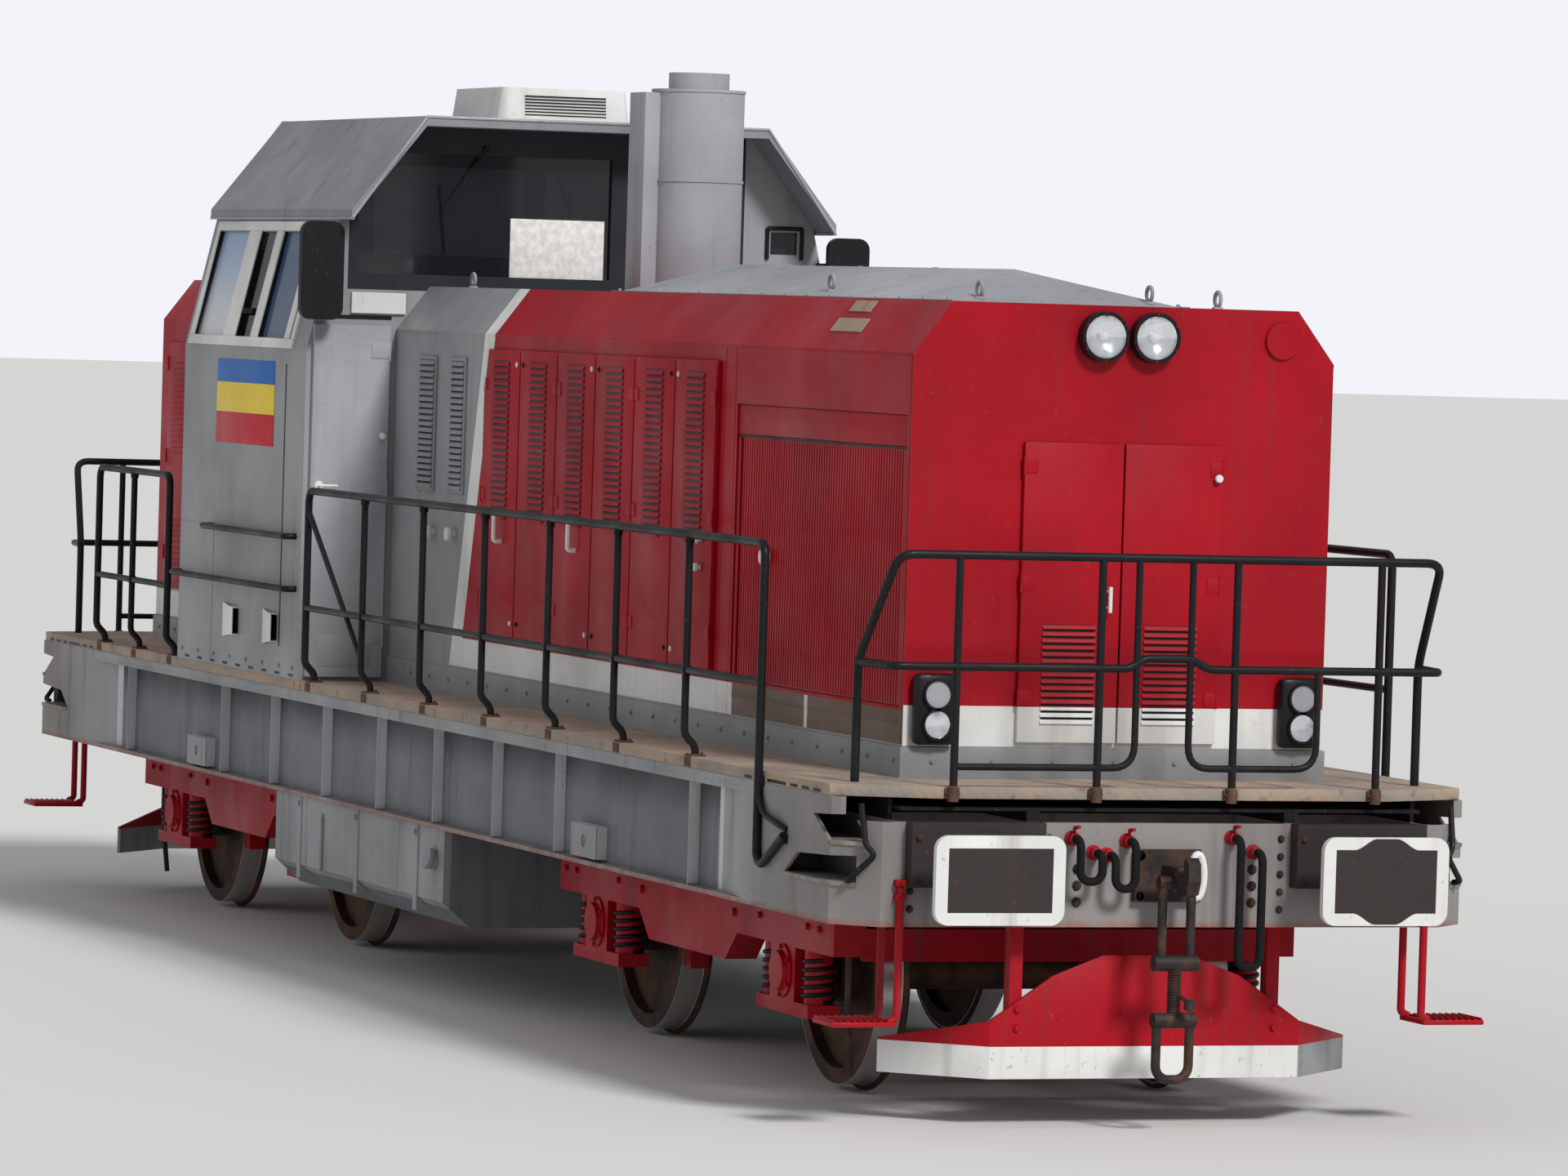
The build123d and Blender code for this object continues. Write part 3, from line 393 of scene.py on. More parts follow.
# Material of each node of the frame, the rest by the names that they start with
node_groups = {
    "hood": "long_hood rear_hood radiator_panels", "pale": "roof_cover exhaust_stack",
    "black": "headlamps marker_lamps mirrors cab_grab_rails side_handrails end_handrails",
    "frame": "side_girders jacking_pads corner_steps end_beams underframe fuel_tank",
    "cab": "cab_left_wall cab_right_wall cab_front_wall cab_rear_wall", "grey": "louvre_panels engine control_desk",
    "red": "foot_steps front_bogie rear_bogie", "steel": "draw_gear cab_floor",
    "white": "window_frames air_conditioner", "deck": "deck", "buffer": "buffers", "rubber": "brake_hoses",
    "plough": "ploughs", "glass": "cab_windows", "roof": "cab_roof", "seat": "driver_seats",
}
node_material = {name: key for key, names in node_groups.items() for name in names.split()}
for node_name, node in nodes.items():
    rest = "wheel" if "wheelset" in node_name else "pale" if node_name.startswith("cab") else "hood"
    material = materials[node_material.get(node_name, rest)]
    node.data.materials.clear()
    node.data.materials.append(material)
    for slot in node.material_slots:
        slot.material = material

slot_groups = {
    "deck_plate": "deck tread tan", "grey_paint": "frame grey cab", "red_paint": "hood red plough",
    "light_grey": "pale", "black_steel": "black rust steel", "white_paint": "white chrome board bands",
    "glass": "lens", "rubber": "rubber seat",
}
slot_of = {key: slot for slot, keys in slot_groups.items() for key in keys.split()}

# Slats of pressed louvres: (out, up) from the face and the foot
SIDE_SLAT = ((-0.001, 0.003), (0.010, 0.004), (0.010, 0.007), (0.006, 0.017), (-0.001, 0.026))
END_SLAT = ((-0.001, 0), (0.009, 0.001), (0.009, 0.004), (0.005, 0.013), (-0.001, 0.021))


def ring_points(centre, axis, radius, segments, start=None):
    """Points of a circle round an axis."""
    axis = Vector(axis).normalized()
    across = (start or axis.orthogonal()).normalized()
    other = axis.cross(across)
    points = []
    for step in range(segments):
        angle = 2 * math.pi * step / segments
        points.append(Vector(centre) + radius * (math.cos(angle) * across + math.sin(angle) * other))
    return points


def rounded(points, bend, steps=6):
    """Route of points with each inner corner replaced by an arc-like bend."""
    route = [points[0]]
    for before, corner, after in zip(points, points[1:], points[2:]):
        to_before, to_after = before - corner, after - corner
        reach = min(bend, to_before.length * 0.49, to_after.length * 0.49)
        first = corner + to_before.normalized() * reach
        last = corner + to_after.normalized() * reach
        for step in range(steps + 1):
            share = step / steps
            route.append(first.lerp(corner, share).lerp(corner.lerp(last, share), share))
    return route + [points[-1]]


def dome(base, rise, radius, steps):
    """Profile of a shallow dome for Shape.lathe."""
    return [(base + rise * (1 - (step / steps) ** 2), radius * step / steps) for step in range(steps + 1)]


class Shape:
    """A mesh in the making. Places and directions are those of the front left, face() turns them elsewhere."""

    def __init__(self, end=1, side=1):
        self.mesh = bmesh.new()
        self.face(end, side)

    def face(self, end=1, side=1):
        """Carry what follows to the front (1) or the rear (-1), and to the left (1) or the right (-1)."""
        self.signs = Vector((end, side, 1))

    def at(self, place):
        return Vector(place) * self.signs

    def lathe(self, place, axis, profile, segments=24):
        """Surface of revolution of (distance along the axis, radius) pairs, closed where the radius is 0."""
        origin, axis = self.at(place), self.at(axis).normalized()
        rings = []
        for along, radius in profile:
            centre = origin + axis * along
            points = ring_points(centre, axis, radius, segments) if radius > 0 else [centre]
            rings.append([self.mesh.verts.new(point) for point in points])
        for low, high in zip(rings, rings[1:]):
            for step in range(segments):
                after = (step + 1) % segments
                corners = []
                for ring, first, second in ((low, step, after), (high, after, step)):
                    corners += ring if len(ring) == 1 else [ring[first], ring[second]]
                self.mesh.faces.new(corners)

    def rod(self, start, end, radius, segments=12):
        way = Vector(end) - Vector(start)
        self.lathe(start, way, [(0, 0), (0, radius), (way.length, radius), (way.length, 0)], segments)

    def pipe(self, points, radius, bend=0.0, segments=12):
        """Pipe with flat ends along a route of points, its corners bent."""
        points = [self.at(point) for point in points]
        if bend:
            points = rounded(points, bend)
        side = (points[1] - points[0]).orthogonal()
        rings = []
        for index, point in enumerate(points):
            way = points[min(index + 1, len(points) - 1)] - points[max(index - 1, 0)]
            way.normalize()
            side = (side - way * side.dot(way)).normalized()
            rings.append([self.mesh.verts.new(place) for place in ring_points(point, way, radius, segments, side)])
        for low, high in zip(rings, rings[1:]):
            for step in range(segments):
                after = (step + 1) % segments
                self.mesh.faces.new((low[step], low[after], high[after], high[step]))
        self.mesh.faces.new(rings[0][::-1])
        self.mesh.faces.new(rings[-1])

    def ease(self, edges, bevel):
        bmesh.ops.bevel(self.mesh, geom=list(edges), offset=bevel, segments=2, profile=0.5, affect="EDGES")

    def box(self, low, high, bevel=0.0):
        """Box between two corners with its edges eased."""
        low, high = self.at(low), self.at(high)
        verts = bmesh.ops.create_cube(self.mesh, size=1)["verts"]
        bmesh.ops.scale(self.mesh, vec=Vector([abs(value) for value in high - low]), verts=verts)
        bmesh.ops.translate(self.mesh, vec=(low + high) / 2, verts=verts)
        if bevel:
            self.ease({edge for vert in verts for edge in vert.link_edges}, bevel)

    def loft(self, low, high, bevel=0.0):
        """Closed solid between two outlines with as many points."""
        low = [self.mesh.verts.new(self.at(point)) for point in low]
        high = [self.mesh.verts.new(self.at(point)) for point in high]
        faces = [self.mesh.faces.new(low[::-1]), self.mesh.faces.new(high)]
        for step in range(len(low)):
            after = (step + 1) % len(low)
            faces.append(self.mesh.faces.new((low[step], low[after], high[after], high[step])))
        if bevel:
            self.ease({edge for face in faces for edge in face.edges}, bevel)

    def prism(self, outline, sweep, bevel=0.0):
        self.loft(outline, [Vector(point) + Vector(sweep) for point in outline], bevel)

    def slab(self, outline, z, height, bevel=0.0):
        """Level plate from an outline of (x, y)."""
        self.prism([(x, y, z) for x, y in outline], (0, 0, height), bevel)

    def cushion(self, low, high, crown=0.8, rows=10):
        """Crowned pad: a closed box grid whose faces swell and whose edges pull in. It is its mesh's only form."""
        low, high = Vector(low), Vector(high)
        middle, half = (low + high) / 2, (high - low) / 2
        verts = bmesh.ops.create_cube(self.mesh, size=2)["verts"]
        edges = list({edge for vert in verts for edge in vert.link_edges})
        bmesh.ops.subdivide_edges(self.mesh, edges=edges, cuts=rows, use_grid_fill=True)
        for vert in self.mesh.verts:
            place = vert.co.copy()
            for axis in range(3):
                first, second = place[(axis + 1) % 3], place[(axis + 2) % 3]
                round_off = math.sqrt(max(0.0, 1 - 0.30 * first ** 4 - 0.30 * second ** 4))
                vert.co[axis] = place[axis] * (1 - crown * (1 - round_off))
            vert.co = middle + Vector([vert.co[axis] * half[axis] for axis in range(3)])

    def bolt(self, place, axis, radius=0.016, head=0.012):
        """Hexagon head on a washer."""
        washer = 0.003
        self.lathe(place, axis, [(0, 0), (0, radius * 1.35), (washer, radius * 1.35), (washer, 0)], 16)
        self.lathe(Vector(place) + Vector(axis).normalized() * washer, axis,
                   [(0, 0), (0, radius), (head * 0.8, radius), (head, radius * 0.8), (head, 0)], 6)

    def side_louvres(self, face, x0, x1, z0, z1, pitch=0.031):
        """Column of pressed louvres on a side face."""
        count = round((z1 - z0) / pitch)
        for step in range(count):
            z = z0 + step * (z1 - z0) / count
            self.prism([(x0, face + out, z + up) for out, up in SIDE_SLAT], (x1 - x0, 0, 0))

    def end_louvres(self, face, outward, z0, count, pitch):
        """Column of pressed louvres on one half of an end face."""
        y0, y1 = 0.112, 0.358
        for step in range(count):
            z = z0 + step * pitch
            self.prism([(face + outward * out, y0, z + up) for out, up in END_SLAT], (0, y1 - y0, 0))


def each_side(*shapes):
    """The sides in turn, right first, with the shapes turned to them."""
    for side, _ in SIDES:
        for shape in shapes:
            shape.face(1, side)
        yield side


def link(name, data):
    made = bpy.data.objects.new(name, data)
    bpy.context.scene.collection.objects.link(made)
    return made


def link_object(name, shape):
    bmesh.ops.recalc_face_normals(shape.mesh, faces=shape.mesh.faces)
    data = bpy.data.meshes.new(name)
    shape.mesh.to_mesh(data)
    shape.mesh.free()
    return link(name, data)


replaced = set()


def dress(made, material, stands_for=None, body="frame", smooth=35, slot=None):
    """Material, shading and body of a piece; its slot is looked up but not set. The first piece that stands for a
    node replaces it.
    """
    made.data.materials.append(materials[material])
    if smooth:
        made.data.shade_smooth()
        made.data.set_sharp_from_angle(angle=math.radians(smooth))
    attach(made, body)
    slot or slot_of[material]
    if stands_for and stands_for not in replaced:
        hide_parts(stands_for)
        replaced.add(stands_for)
    return made


def piece(name, shape, material, stands_for=None, **how):
    return dress(link_object(name, shape), material, stands_for, **how)


def carved(name, solid, cuts, material, stands_for=None, **how):
    """Piece from a shape with other shapes cut out of it."""
    base = link_object(name + "_base", solid)
    cutters = [link_object(name + "_cut", cut) for cut in cuts]
    for cutter in cutters:
        modifier = base.modifiers.new("cut", "BOOLEAN")
        modifier.operation = "DIFFERENCE"
        modifier.solver = "EXACT"
        modifier.object = cutter
    bpy.context.view_layer.update()
    data = bpy.data.meshes.new_from_object(base.evaluated_get(bpy.context.evaluated_depsgraph_get()))
    data.name = name
    for made in [base, *cutters]:
        old = made.data
        bpy.data.objects.remove(made)
        bpy.data.meshes.remove(old)
    return dress(link(name, data), material, stands_for, **how)


# Deck plate, thin at its edge, over the girders' top flanges
deck_outline = [(6.500, 1.030), (6.330, 1.448), (-6.330, 1.448), (-6.500, 1.030), (-6.500, -1.030),
                (-6.330, -1.448), (6.330, -1.448), (6.500, -1.030)]
plate = Shape()
plate.slab(deck_outline, deck_edge, 0.050, 0.004)
piece("deck_plate", plate, "deck", "deck")

caps, slots = Shape(), Shape()
slot_starts = [5.30 + step * 0.14 for step in range(7)]
for side in each_side(caps):
    caps.box((-5.300, 1.290, deck_edge - 0.046), (5.300, 1.4475, deck_edge), 0.003)
    for step in range(46):
        x = -5.1 + step * 10.2 / 45
        caps.box((x - 0.03, 1.4474, deck_edge - 0.016), (x + 0.03, 1.4478, deck_edge - 0.006))
    # painted shade: thin black sheets on the deck's edge stand for the dark inside of its slots
    for x0, x1 in [(x, x + 0.09) for x in slot_starts] + [(5.66, 5.72)]:
        for end in (-1, 1):
            slots.face(end, side)
            slots.box((x0, GIRDER_EDGE, deck_edge + 0.006), (x1, GIRDER_EDGE + 0.0004, deck_edge + 0.020))
piece("girder_caps", caps, "frame")
piece("deck_edge_slots", slots, "black", smooth=0)

# Corner boxes with two step wells behind their side plates
LOW_STEP, HIGH_STEP = 1.035, 1.207
BOX_FOOT = 0.860
corner_outline = [(5.300, 1.432), (5.300, 1.448), (6.360, 1.448), (6.524, 1.280), (6.524, 1.190), (5.560, 1.190),
                  (5.560, 1.432)]
chamber = [(5.576, 1.206), (5.576, 1.432), (6.353, 1.432), (6.508, 1.273), (6.508, 1.206)]
storeys = ((0.850, 1.019), (LOW_STEP, 1.191), (HIGH_STEP, 1.400))
step_wells = (((5.810, LOW_STEP), (5.965, 1.130), (6.445, 1.150), (6.445, LOW_STEP)),
              ((6.150, 1.308), (6.430, 1.322), (6.486, HIGH_STEP), (6.345, HIGH_STEP)))
tread_corner = [(6.362, 1.444), (6.442, 1.362), (6.40, 1.30), (6.32, 1.40)]
post_route = [(6.455, 1.350, 1.368), (6.500, 1.345, 1.198), (6.530, 1.310, 1.160), (6.462, 1.405, 1.050),
              (6.420, 1.390, 1.045)]
branch_route = [(5.526, RAIL_LINE, 1.345), (5.600, RAIL_LINE, 1.262), (5.790, RAIL_LINE, 1.232),
                (5.845, 1.450, 1.215)]


def corner_box(name, end, side):
    solid = Shape(end, side)
    solid.slab(corner_outline, BOX_FOOT, deck_edge - BOX_FOOT)
    cuts = [Shape(end, side) for _ in range(6)]
    for cut, (low, high) in zip(cuts, storeys):
        cut.slab(chamber, low, high - low)
    for cut, well in zip(cuts[3:], step_wells):
        cut.prism([(x, 1.300, z) for x, z in well], (0, 0.2, 0))
    cuts[5].box((6.390, 1.180, 1.298), (6.540, 1.460, 1.410))
    carved(f"{name}_corner", solid, cuts, "frame", "corner_steps", smooth=20)


def corner_treads(name, end, side):
    """Plates of the two steps with their nosings, along the side and round the chamfer."""
    treads = Shape(end, side)
    for x0, x1, z in ((5.812, 6.36, LOW_STEP), (6.345, 6.37, HIGH_STEP)):
        treads.box((x0, 1.230, z), (x1, 1.446, z + 0.004), 0.001)
    for shift, z in ((0, LOW_STEP), (0.03, HIGH_STEP)):
        treads.slab([(x + shift, y - shift) for x, y in tread_corner], z, 0.004)
    for z, x0, x1 in ((LOW_STEP, 5.83, 6.355), (HIGH_STEP, 6.345, 6.357)):
        treads.box((x0, 1.4465, z - 0.014), (x1, 1.453, z + 0.003), 0.001)
    for z, x0, x1 in ((LOW_STEP, 6.362, 6.446), (HIGH_STEP, 6.362, 6.486)):
        y0, y1 = (1.448 - (x - 6.36) * 1.024 for x in (x0, x1))
        treads.slab([(x0, y0), (x1, y1), (x1 + 0.005, y1 + 0.005), (x0 + 0.005, y0 + 0.005)], z - 0.014, 0.017)
    piece(f"{name}_treads", treads, "tread", smooth=0)


for end, end_name in ENDS:
    for side, side_name in SIDES:
        corner_name = f"{end_name}_{side_name}"
        corner_box(corner_name, end, side)
        corner_treads(corner_name, end, side)
        grabs = Shape(end, side)
        grabs.pipe(post_route, 0.013, 0.04)
        if end > 0:
            grabs.pipe(branch_route, 0.013, 0.05)
        piece(f"{corner_name}_grab_tube", grabs, "black")

# End handrails: top tube bent back to the corner posts, middle tube raised over the way through, lower loops
rail_x, corner_x = 6.5193, 6.208
top, mid, low = 2.414, 1.948, 1.530
post_ys = (-0.968, -0.322, 0.296, 0.962)
raised = mid + 0.044
rail_routes = (
    # radius, bend, route
    (0.019, 0.07, [(corner_x, -1.290, deck_top), (corner_x, -1.290, 1.960), (rail_x, -1.240, top),
                   (rail_x, 1.240, top), (corner_x, 1.290, 1.960), (corner_x, 1.290, deck_top)]),
    (0.018, 0.05, [(corner_x, -1.290, mid), (rail_x, -1.250, mid), (rail_x, -0.185, mid), (rail_x, -0.125, raised),
                   (rail_x, 0.100, raised), (rail_x, 0.165, mid), (rail_x, 1.250, mid), (corner_x, 1.290, mid)]),
    (0.015, 0.10, [(rail_x, -0.968, low), (rail_x, -0.155, low), (rail_x, -0.155, top)]),
    (0.015, 0.10, [(rail_x, 0.090, top), (rail_x, 0.090, low), (rail_x, 0.680, low), (rail_x, 0.680, mid)]),
)
for end, end_name in ENDS:
    rails, feet = Shape(end), Shape(end)
    for radius, bend, route in rail_routes:
        rails.pipe(route, radius, bend, 14)
    for y in post_ys:
        rails.rod((rail_x, y, deck_edge + 0.002), (rail_x, y, top), 0.017, 14)
        feet.box((6.499, y - 0.032, deck_edge + 0.002), (6.514, y + 0.032, deck_edge + 0.046), 0.003)
        feet.lathe((rail_x, y, deck_edge - 0.010), UP, [(0, 0), (0, 0.024), (0.060, 0.024), (0.066, 0.017)], 16)
        for shift in (-0.024, 0.024):
            feet.bolt((6.514, y + shift, deck_edge + 0.024), AHEAD, 0.006, 0.006)
    piece(f"{end_name}_handrail", rails, "black", "end_handrails")
    piece(f"{end_name}_rail_feet", feet, "rust")

# Clamps and feet of the side handrails
posts = [-1.180 + 0.958 * step for step in range(8)]
rear_posts = [-3.760, -4.470, -5.180]
clamp_ring = [(0, 0.018), (0, 0.024), (0.044, 0.024), (0.044, 0.018)]
for side, side_name in SIDES:
    clamps, feet = Shape(side=side), Shape(side=side)
    for x in posts[1:-1] + rear_posts[1:2]:
        clamps.lathe((x - 0.022, RAIL_LINE, 1.822), AHEAD, clamp_ring, 14)
        clamps.lathe((x, RAIL_LINE, 2.375), UP, [(0, 0.017), (0.004, 0.022), (0.026, 0.022)], 14)
    for x in posts[:-1] + rear_posts:
        feet.box((x - 0.045, 1.380, deck_top), (x + 0.045, 1.446, deck_top + 0.009), 0.002)
        feet.box((x - 0.040, GIRDER_EDGE, deck_edge + 0.004), (x + 0.040, 1.452, deck_top - 0.004), 0.001)
        for shift in (-0.032, 0.032):
            feet.bolt((x + shift, 1.395, deck_top + 0.009), UP, 0.008, 0.007)
    piece(f"{side_name}_rail_clamps", clamps, "black")
    piece(f"{side_name}_rail_feet", feet, "rust")

# Ploughs: blade, swept wings and hangers
blade_half = [(0.710, 0.205), (0.710, 0.450), (0.430, 0.640), (0.200, 0.728)]
blade_outline = blade_half + [(-y, z) for y, z in reversed(blade_half)]
wing = [(6.370, 0.708, 0.205), (6.020, 1.080, 0.205), (6.020, 1.080, 0.352), (6.370, 0.708, 0.450)]
for end, end_name in ENDS:
    plough = Shape(end)
    plough.prism([(6.350, y, z) for y, z in blade_outline], (0.020, 0, 0), 0.003)
    for side in (-1, 1):
        plough.face(end, side)
        plough.prism(wing, (-0.014, -0.014, 0), 0.002)
        plough.box((6.285, 0.560, 0.300), (6.351, 0.620, 1.000), 0.004)
        plough.box((6.000, 0.560, 0.940), (6.351, 0.620, 1.000), 0.004)
        for z in (0.42, 0.50):
            plough.bolt((6.370, 0.590, z), AHEAD, 0.014)
    piece(f"{end_name}_plough", plough, "plough", "ploughs")

# Hanging foot steps on two rods, with a ribbed plate
front_hanger = [(6.524, 1.200, 1.040), (6.544, 1.200, 1.020), (6.544, 1.200, 0.480), (6.540, 1.235, 0.466)]
rear_hanger = [(6.340, 1.200, 0.870), (6.340, 1.200, 0.480), (6.340, 1.235, 0.466)]
for end, end_name in ENDS:
    steps = Shape()
    for side in (-1, 1):
        steps.face(end, side)
        for hanger in (front_hanger, rear_hanger):
            steps.pipe(hanger, 0.017, 0.03)
        steps.box((6.318, 1.205, 0.445), (6.562, 1.490, 0.466), 0.004)
        for y in [1.24 + 0.03 * step for step in range(9)]:
            steps.box((6.322, y - 0.003, 0.465), (6.558, y + 0.003, 0.475), 0.001)
        for z in (0.985, 1.045):
            steps.box((6.524, 1.175, z - 0.014), (6.562, 1.225, z + 0.014), 0.004)
            steps.bolt((6.562, 1.200, z), AHEAD, 0.009, 0.008)
    piece(f"{end_name}_foot_steps", steps, "red", "foot_steps")

# Roof cover: hipped sheet with seams and a bolted rim
eave, ridge = 3.470, 3.620
sheet = Shape()
sheet.loft([(0.780, -0.520, eave), (5.300, -0.520, eave), (5.300, 0.520, eave), (0.780, 0.520, eave)],
           [(1.000, -0.012, ridge), (4.600, -0.012, ridge), (4.600, 0.012, ridge), (1.000, 0.012, ridge)])
for x in (1.75, 2.70, 3.65):
    sheet.prism([(x, -0.522, eave), (x, 0.0, 3.6235), (x, 0.522, eave), (x, 0.0, 3.6100)], (0.030, 0, 0))
for side in each_side(sheet):
    sheet.box((0.78, 0.520, eave), (5.30, 0.560, eave + 0.006), 0.001)
    for step in range(16):
        sheet.bolt((0.86 + step * 0.29, 0.542, eave + 0.006), UP, 0.008, 0.007)
piece("roof_cover_sheet", sheet, "pale", "roof_cover")

eyes = Shape()
HOOD_TOP = 3.468
for x, y, z in ((3.40, -0.40, 3.500), (3.40, 0.40, 3.500), (5.22, -0.40, 3.484), (5.22, 0.40, 3.484),
                (5.90, 0.43, HOOD_TOP), (-1.20, 0.62, HOOD_TOP), (-1.20, -0.62, HOOD_TOP),
                (-5.65, 0.43, HOOD_TOP), (-5.65, -0.43, HOOD_TOP)):
    eyes.lathe((x, y, z), UP, [(0, 0), (0, 0.026), (0.010, 0.022), (0.012, 0)], 16)
    loop = ring_points((x, y, z + 0.042), OUT, 0.032, 20)
    eyes.pipe(loop + loop[:2], 0.009, segments=8)
piece("lifting_eyes", eyes, "pale")

# Radiator recesses: header strip over fine upright lamellae, the plate under them, and black lines painted as shade
# along the header strip
for side, side_name in SIDES:
    radiator, lines = Shape(side=side), Shape(side=side)
    radiator.box((3.766, 0.953, 1.666), (5.881, 0.9725, 1.742), 0.002)
    radiator.box((3.780, 0.951, 1.744), (5.868, 0.955, 2.832))
    radiator.box((3.769, 0.951, 2.846), (5.878, 0.9640, 2.979), 0.003)
    for step in range(66):
        x = 3.80 + step * 2.05 / 65
        radiator.box((x - 0.006, 0.954, 1.752), (x + 0.006, 0.9575, 2.826))
    for x in (3.792, 5.856):
        radiator.box((x - 0.014, 0.953, 1.744), (x + 0.014, 0.9655, 2.832), 0.002)
    piece(f"{side_name}_radiator", radiator, "hood", "radiator_panels")
    # painted shade: black lines along the lower and upper edges of the header strip
    for z in (2.834, 2.980):
        lines.box((3.770, 0.9505, z), (5.877, 0.9625, z + 0.010))
    piece(f"{side_name}_radiator_lines", lines, "black", smooth=0)


# Side door leaves with pressed louvres, hinges, catches and handles
def side_door(node, side, number):
    low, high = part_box(node)
    centre = (low.x + high.x) / 2
    inward = 1 if number % 2 == 0 else -1
    hinge_x, free_x = (low.x, high.x)[::inward]
    leaf, gaps, hinges, grip = (Shape(side=side) for _ in range(4))
    leaf.box((low.x, 0.9725, 1.760), (high.x, LEAF_FACE, 3.170), 0.003)
    leaf.side_louvres(LEAF_FACE, centre - 0.125, centre + 0.125, 2.340, 3.120)
    # painted shade: a black sheet behind the louvres darkens the gaps between slats
    gaps.box((centre - 0.120, LEAF_FACE - 0.001, 2.345), (centre + 0.120, LEAF_FACE + 0.0006, 3.118))
    for z in (1.90, 2.42, 2.96):
        hinges.rod((hinge_x, LEAF_FACE, z), (hinge_x, LEAF_FACE, z + 0.075), 0.0062, 10)
        hinges.box((hinge_x + inward * 0.002, LEAF_FACE, z + 0.008),
                   (hinge_x + inward * 0.055, LEAF_FACE + 0.003, z + 0.067), 0.001)
    if number in (0, 2):
        x, reach, z0, z1 = centre + 0.060, LEAF_FACE + 0.038, 2.235, 2.370
        grip.pipe([(x, LEAF_FACE, z1), (x, reach, z1), (x, reach, z0), (x, LEAF_FACE, z0)], 0.0125, 0.020)
    elif number == 5:
        for z in (2.230, 2.356):
            grip.lathe((centre + 0.130, LEAF_FACE, z), OUT,
                       [(0, 0), (0, 0.012), (0.014, 0.010), (0.018, 0.020), (0.030, 0.018), (0.034, 0)], 16)
    for z in (1.84, 3.10):
        grip.lathe((free_x - inward * 0.04, LEAF_FACE, z), OUT,
                   [(0, 0), (0, 0.013), (0.005, 0.013), (0.006, 0.005), (0.009, 0.005), (0.009, 0)], 14)
    piece(f"{node}_leaf", leaf, "hood", node, body=node)
    piece(f"{node}_louvre_gaps", gaps, "black", body=node, smooth=0)
    piece(f"{node}_hinges", hinges, "hood", body=node)
    grip_material = "white" if number in (0, 2, 5) else "black"
    piece(f"{node}_handle", grip, grip_material, body=node, slot="white_paint")


def front_door(node, side):
    leaf, gaps, hinges, knob = (Shape(side=side) for _ in range(4))
    leaf.box((HOOD_FRONT + 0.0004, 0.004, 1.600), (DOOR_FACE, 0.460, 2.880), 0.003)
    leaf.end_louvres(DOOR_FACE, 1, 1.680, 15, 0.0289)
    # painted shade: a black sheet behind the louvres darkens the gaps between slats
    gaps.box((DOOR_FACE - 0.001, 0.116, 1.684), (DOOR_FACE + 0.0006, 0.354, 2.106))
    for z in (1.75, 2.24, 2.74):
        hinges.rod((DOOR_FACE, 0.460, z), (DOOR_FACE, 0.460, z + 0.08), 0.0065, 10)
        hinges.box((DOOR_FACE, 0.400, z + 0.008), (DOOR_FACE + 0.003, 0.458, z + 0.070), 0.001)
    if side < 0:
        reach = DOOR_FACE + 0.030
        for z in (2.180, 2.250):
            knob.rod((DOOR_FACE, 0.060, z), (reach, 0.060, z), 0.006)
        knob.pipe([(reach, 0.060, 2.160), (reach, 0.060, 2.270)], 0.009)
    else:
        knob.lathe((DOOR_FACE, 0.432, 2.742), AHEAD,
                   [(0, 0), (0, 0.012), (0.014, 0.010), (0.018, 0.018), (0.028, 0.016), (0.031, 0)], 16)
    piece(f"{node}_leaf", leaf, "hood", node, body=node)
    piece(f"{node}_louvre_gaps", gaps, "black", body=node, smooth=0)
    piece(f"{node}_hinges", hinges, "hood", body=node)
    piece(f"{node}_knob", knob, "white", body=node)


for side, side_name in SIDES:
    for number in range(6):
        side_door(f"{side_name}_hood_door_{number + 1}", side, number)
for side, side_name in SIDES:
    front_door(f"front_{side_name}_hood_door", side)

# Grey louvred panels and lamp knobs on the hood sides
panels, knobs, gaps = Shape(), Shape(), Shape()
panel_face = 0.984
knob_profile = [(0, 0), (0, 0.018), (0.026, 0.016), (0.030, 0.036), (0.046, 0.034), (0.052, 0)]
for side in each_side(panels, knobs, gaps):
    for x0, x1 in ((-0.925, -0.650), (-0.410, -0.170)):
        panels.box((x0, 0.971, 2.440), (x1, panel_face, 3.120), 0.002)
        panels.side_louvres(panel_face, x0 + 0.015, x1 - 0.015, 2.455, 3.105)
        # painted shade: a black sheet behind the louvres darkens the gaps between slats
        gaps.box((x0 + 0.020, panel_face - 0.001, 2.458), (x1 - 0.020, panel_face + 0.0006, 3.102))
    for x, foot, z in ((-0.644, 0.972, 2.236), (-0.305, 0.972, 2.238), (4.192, 0.951, 2.310)):
        knobs.lathe((x, foot, z), OUT, knob_profile, 20)
piece("hood_side_louvres", panels, "grey", "louvre_panels")
piece("hood_side_knobs", knobs, "white")
piece("hood_side_louvre_gaps", gaps, "black", smooth=0)

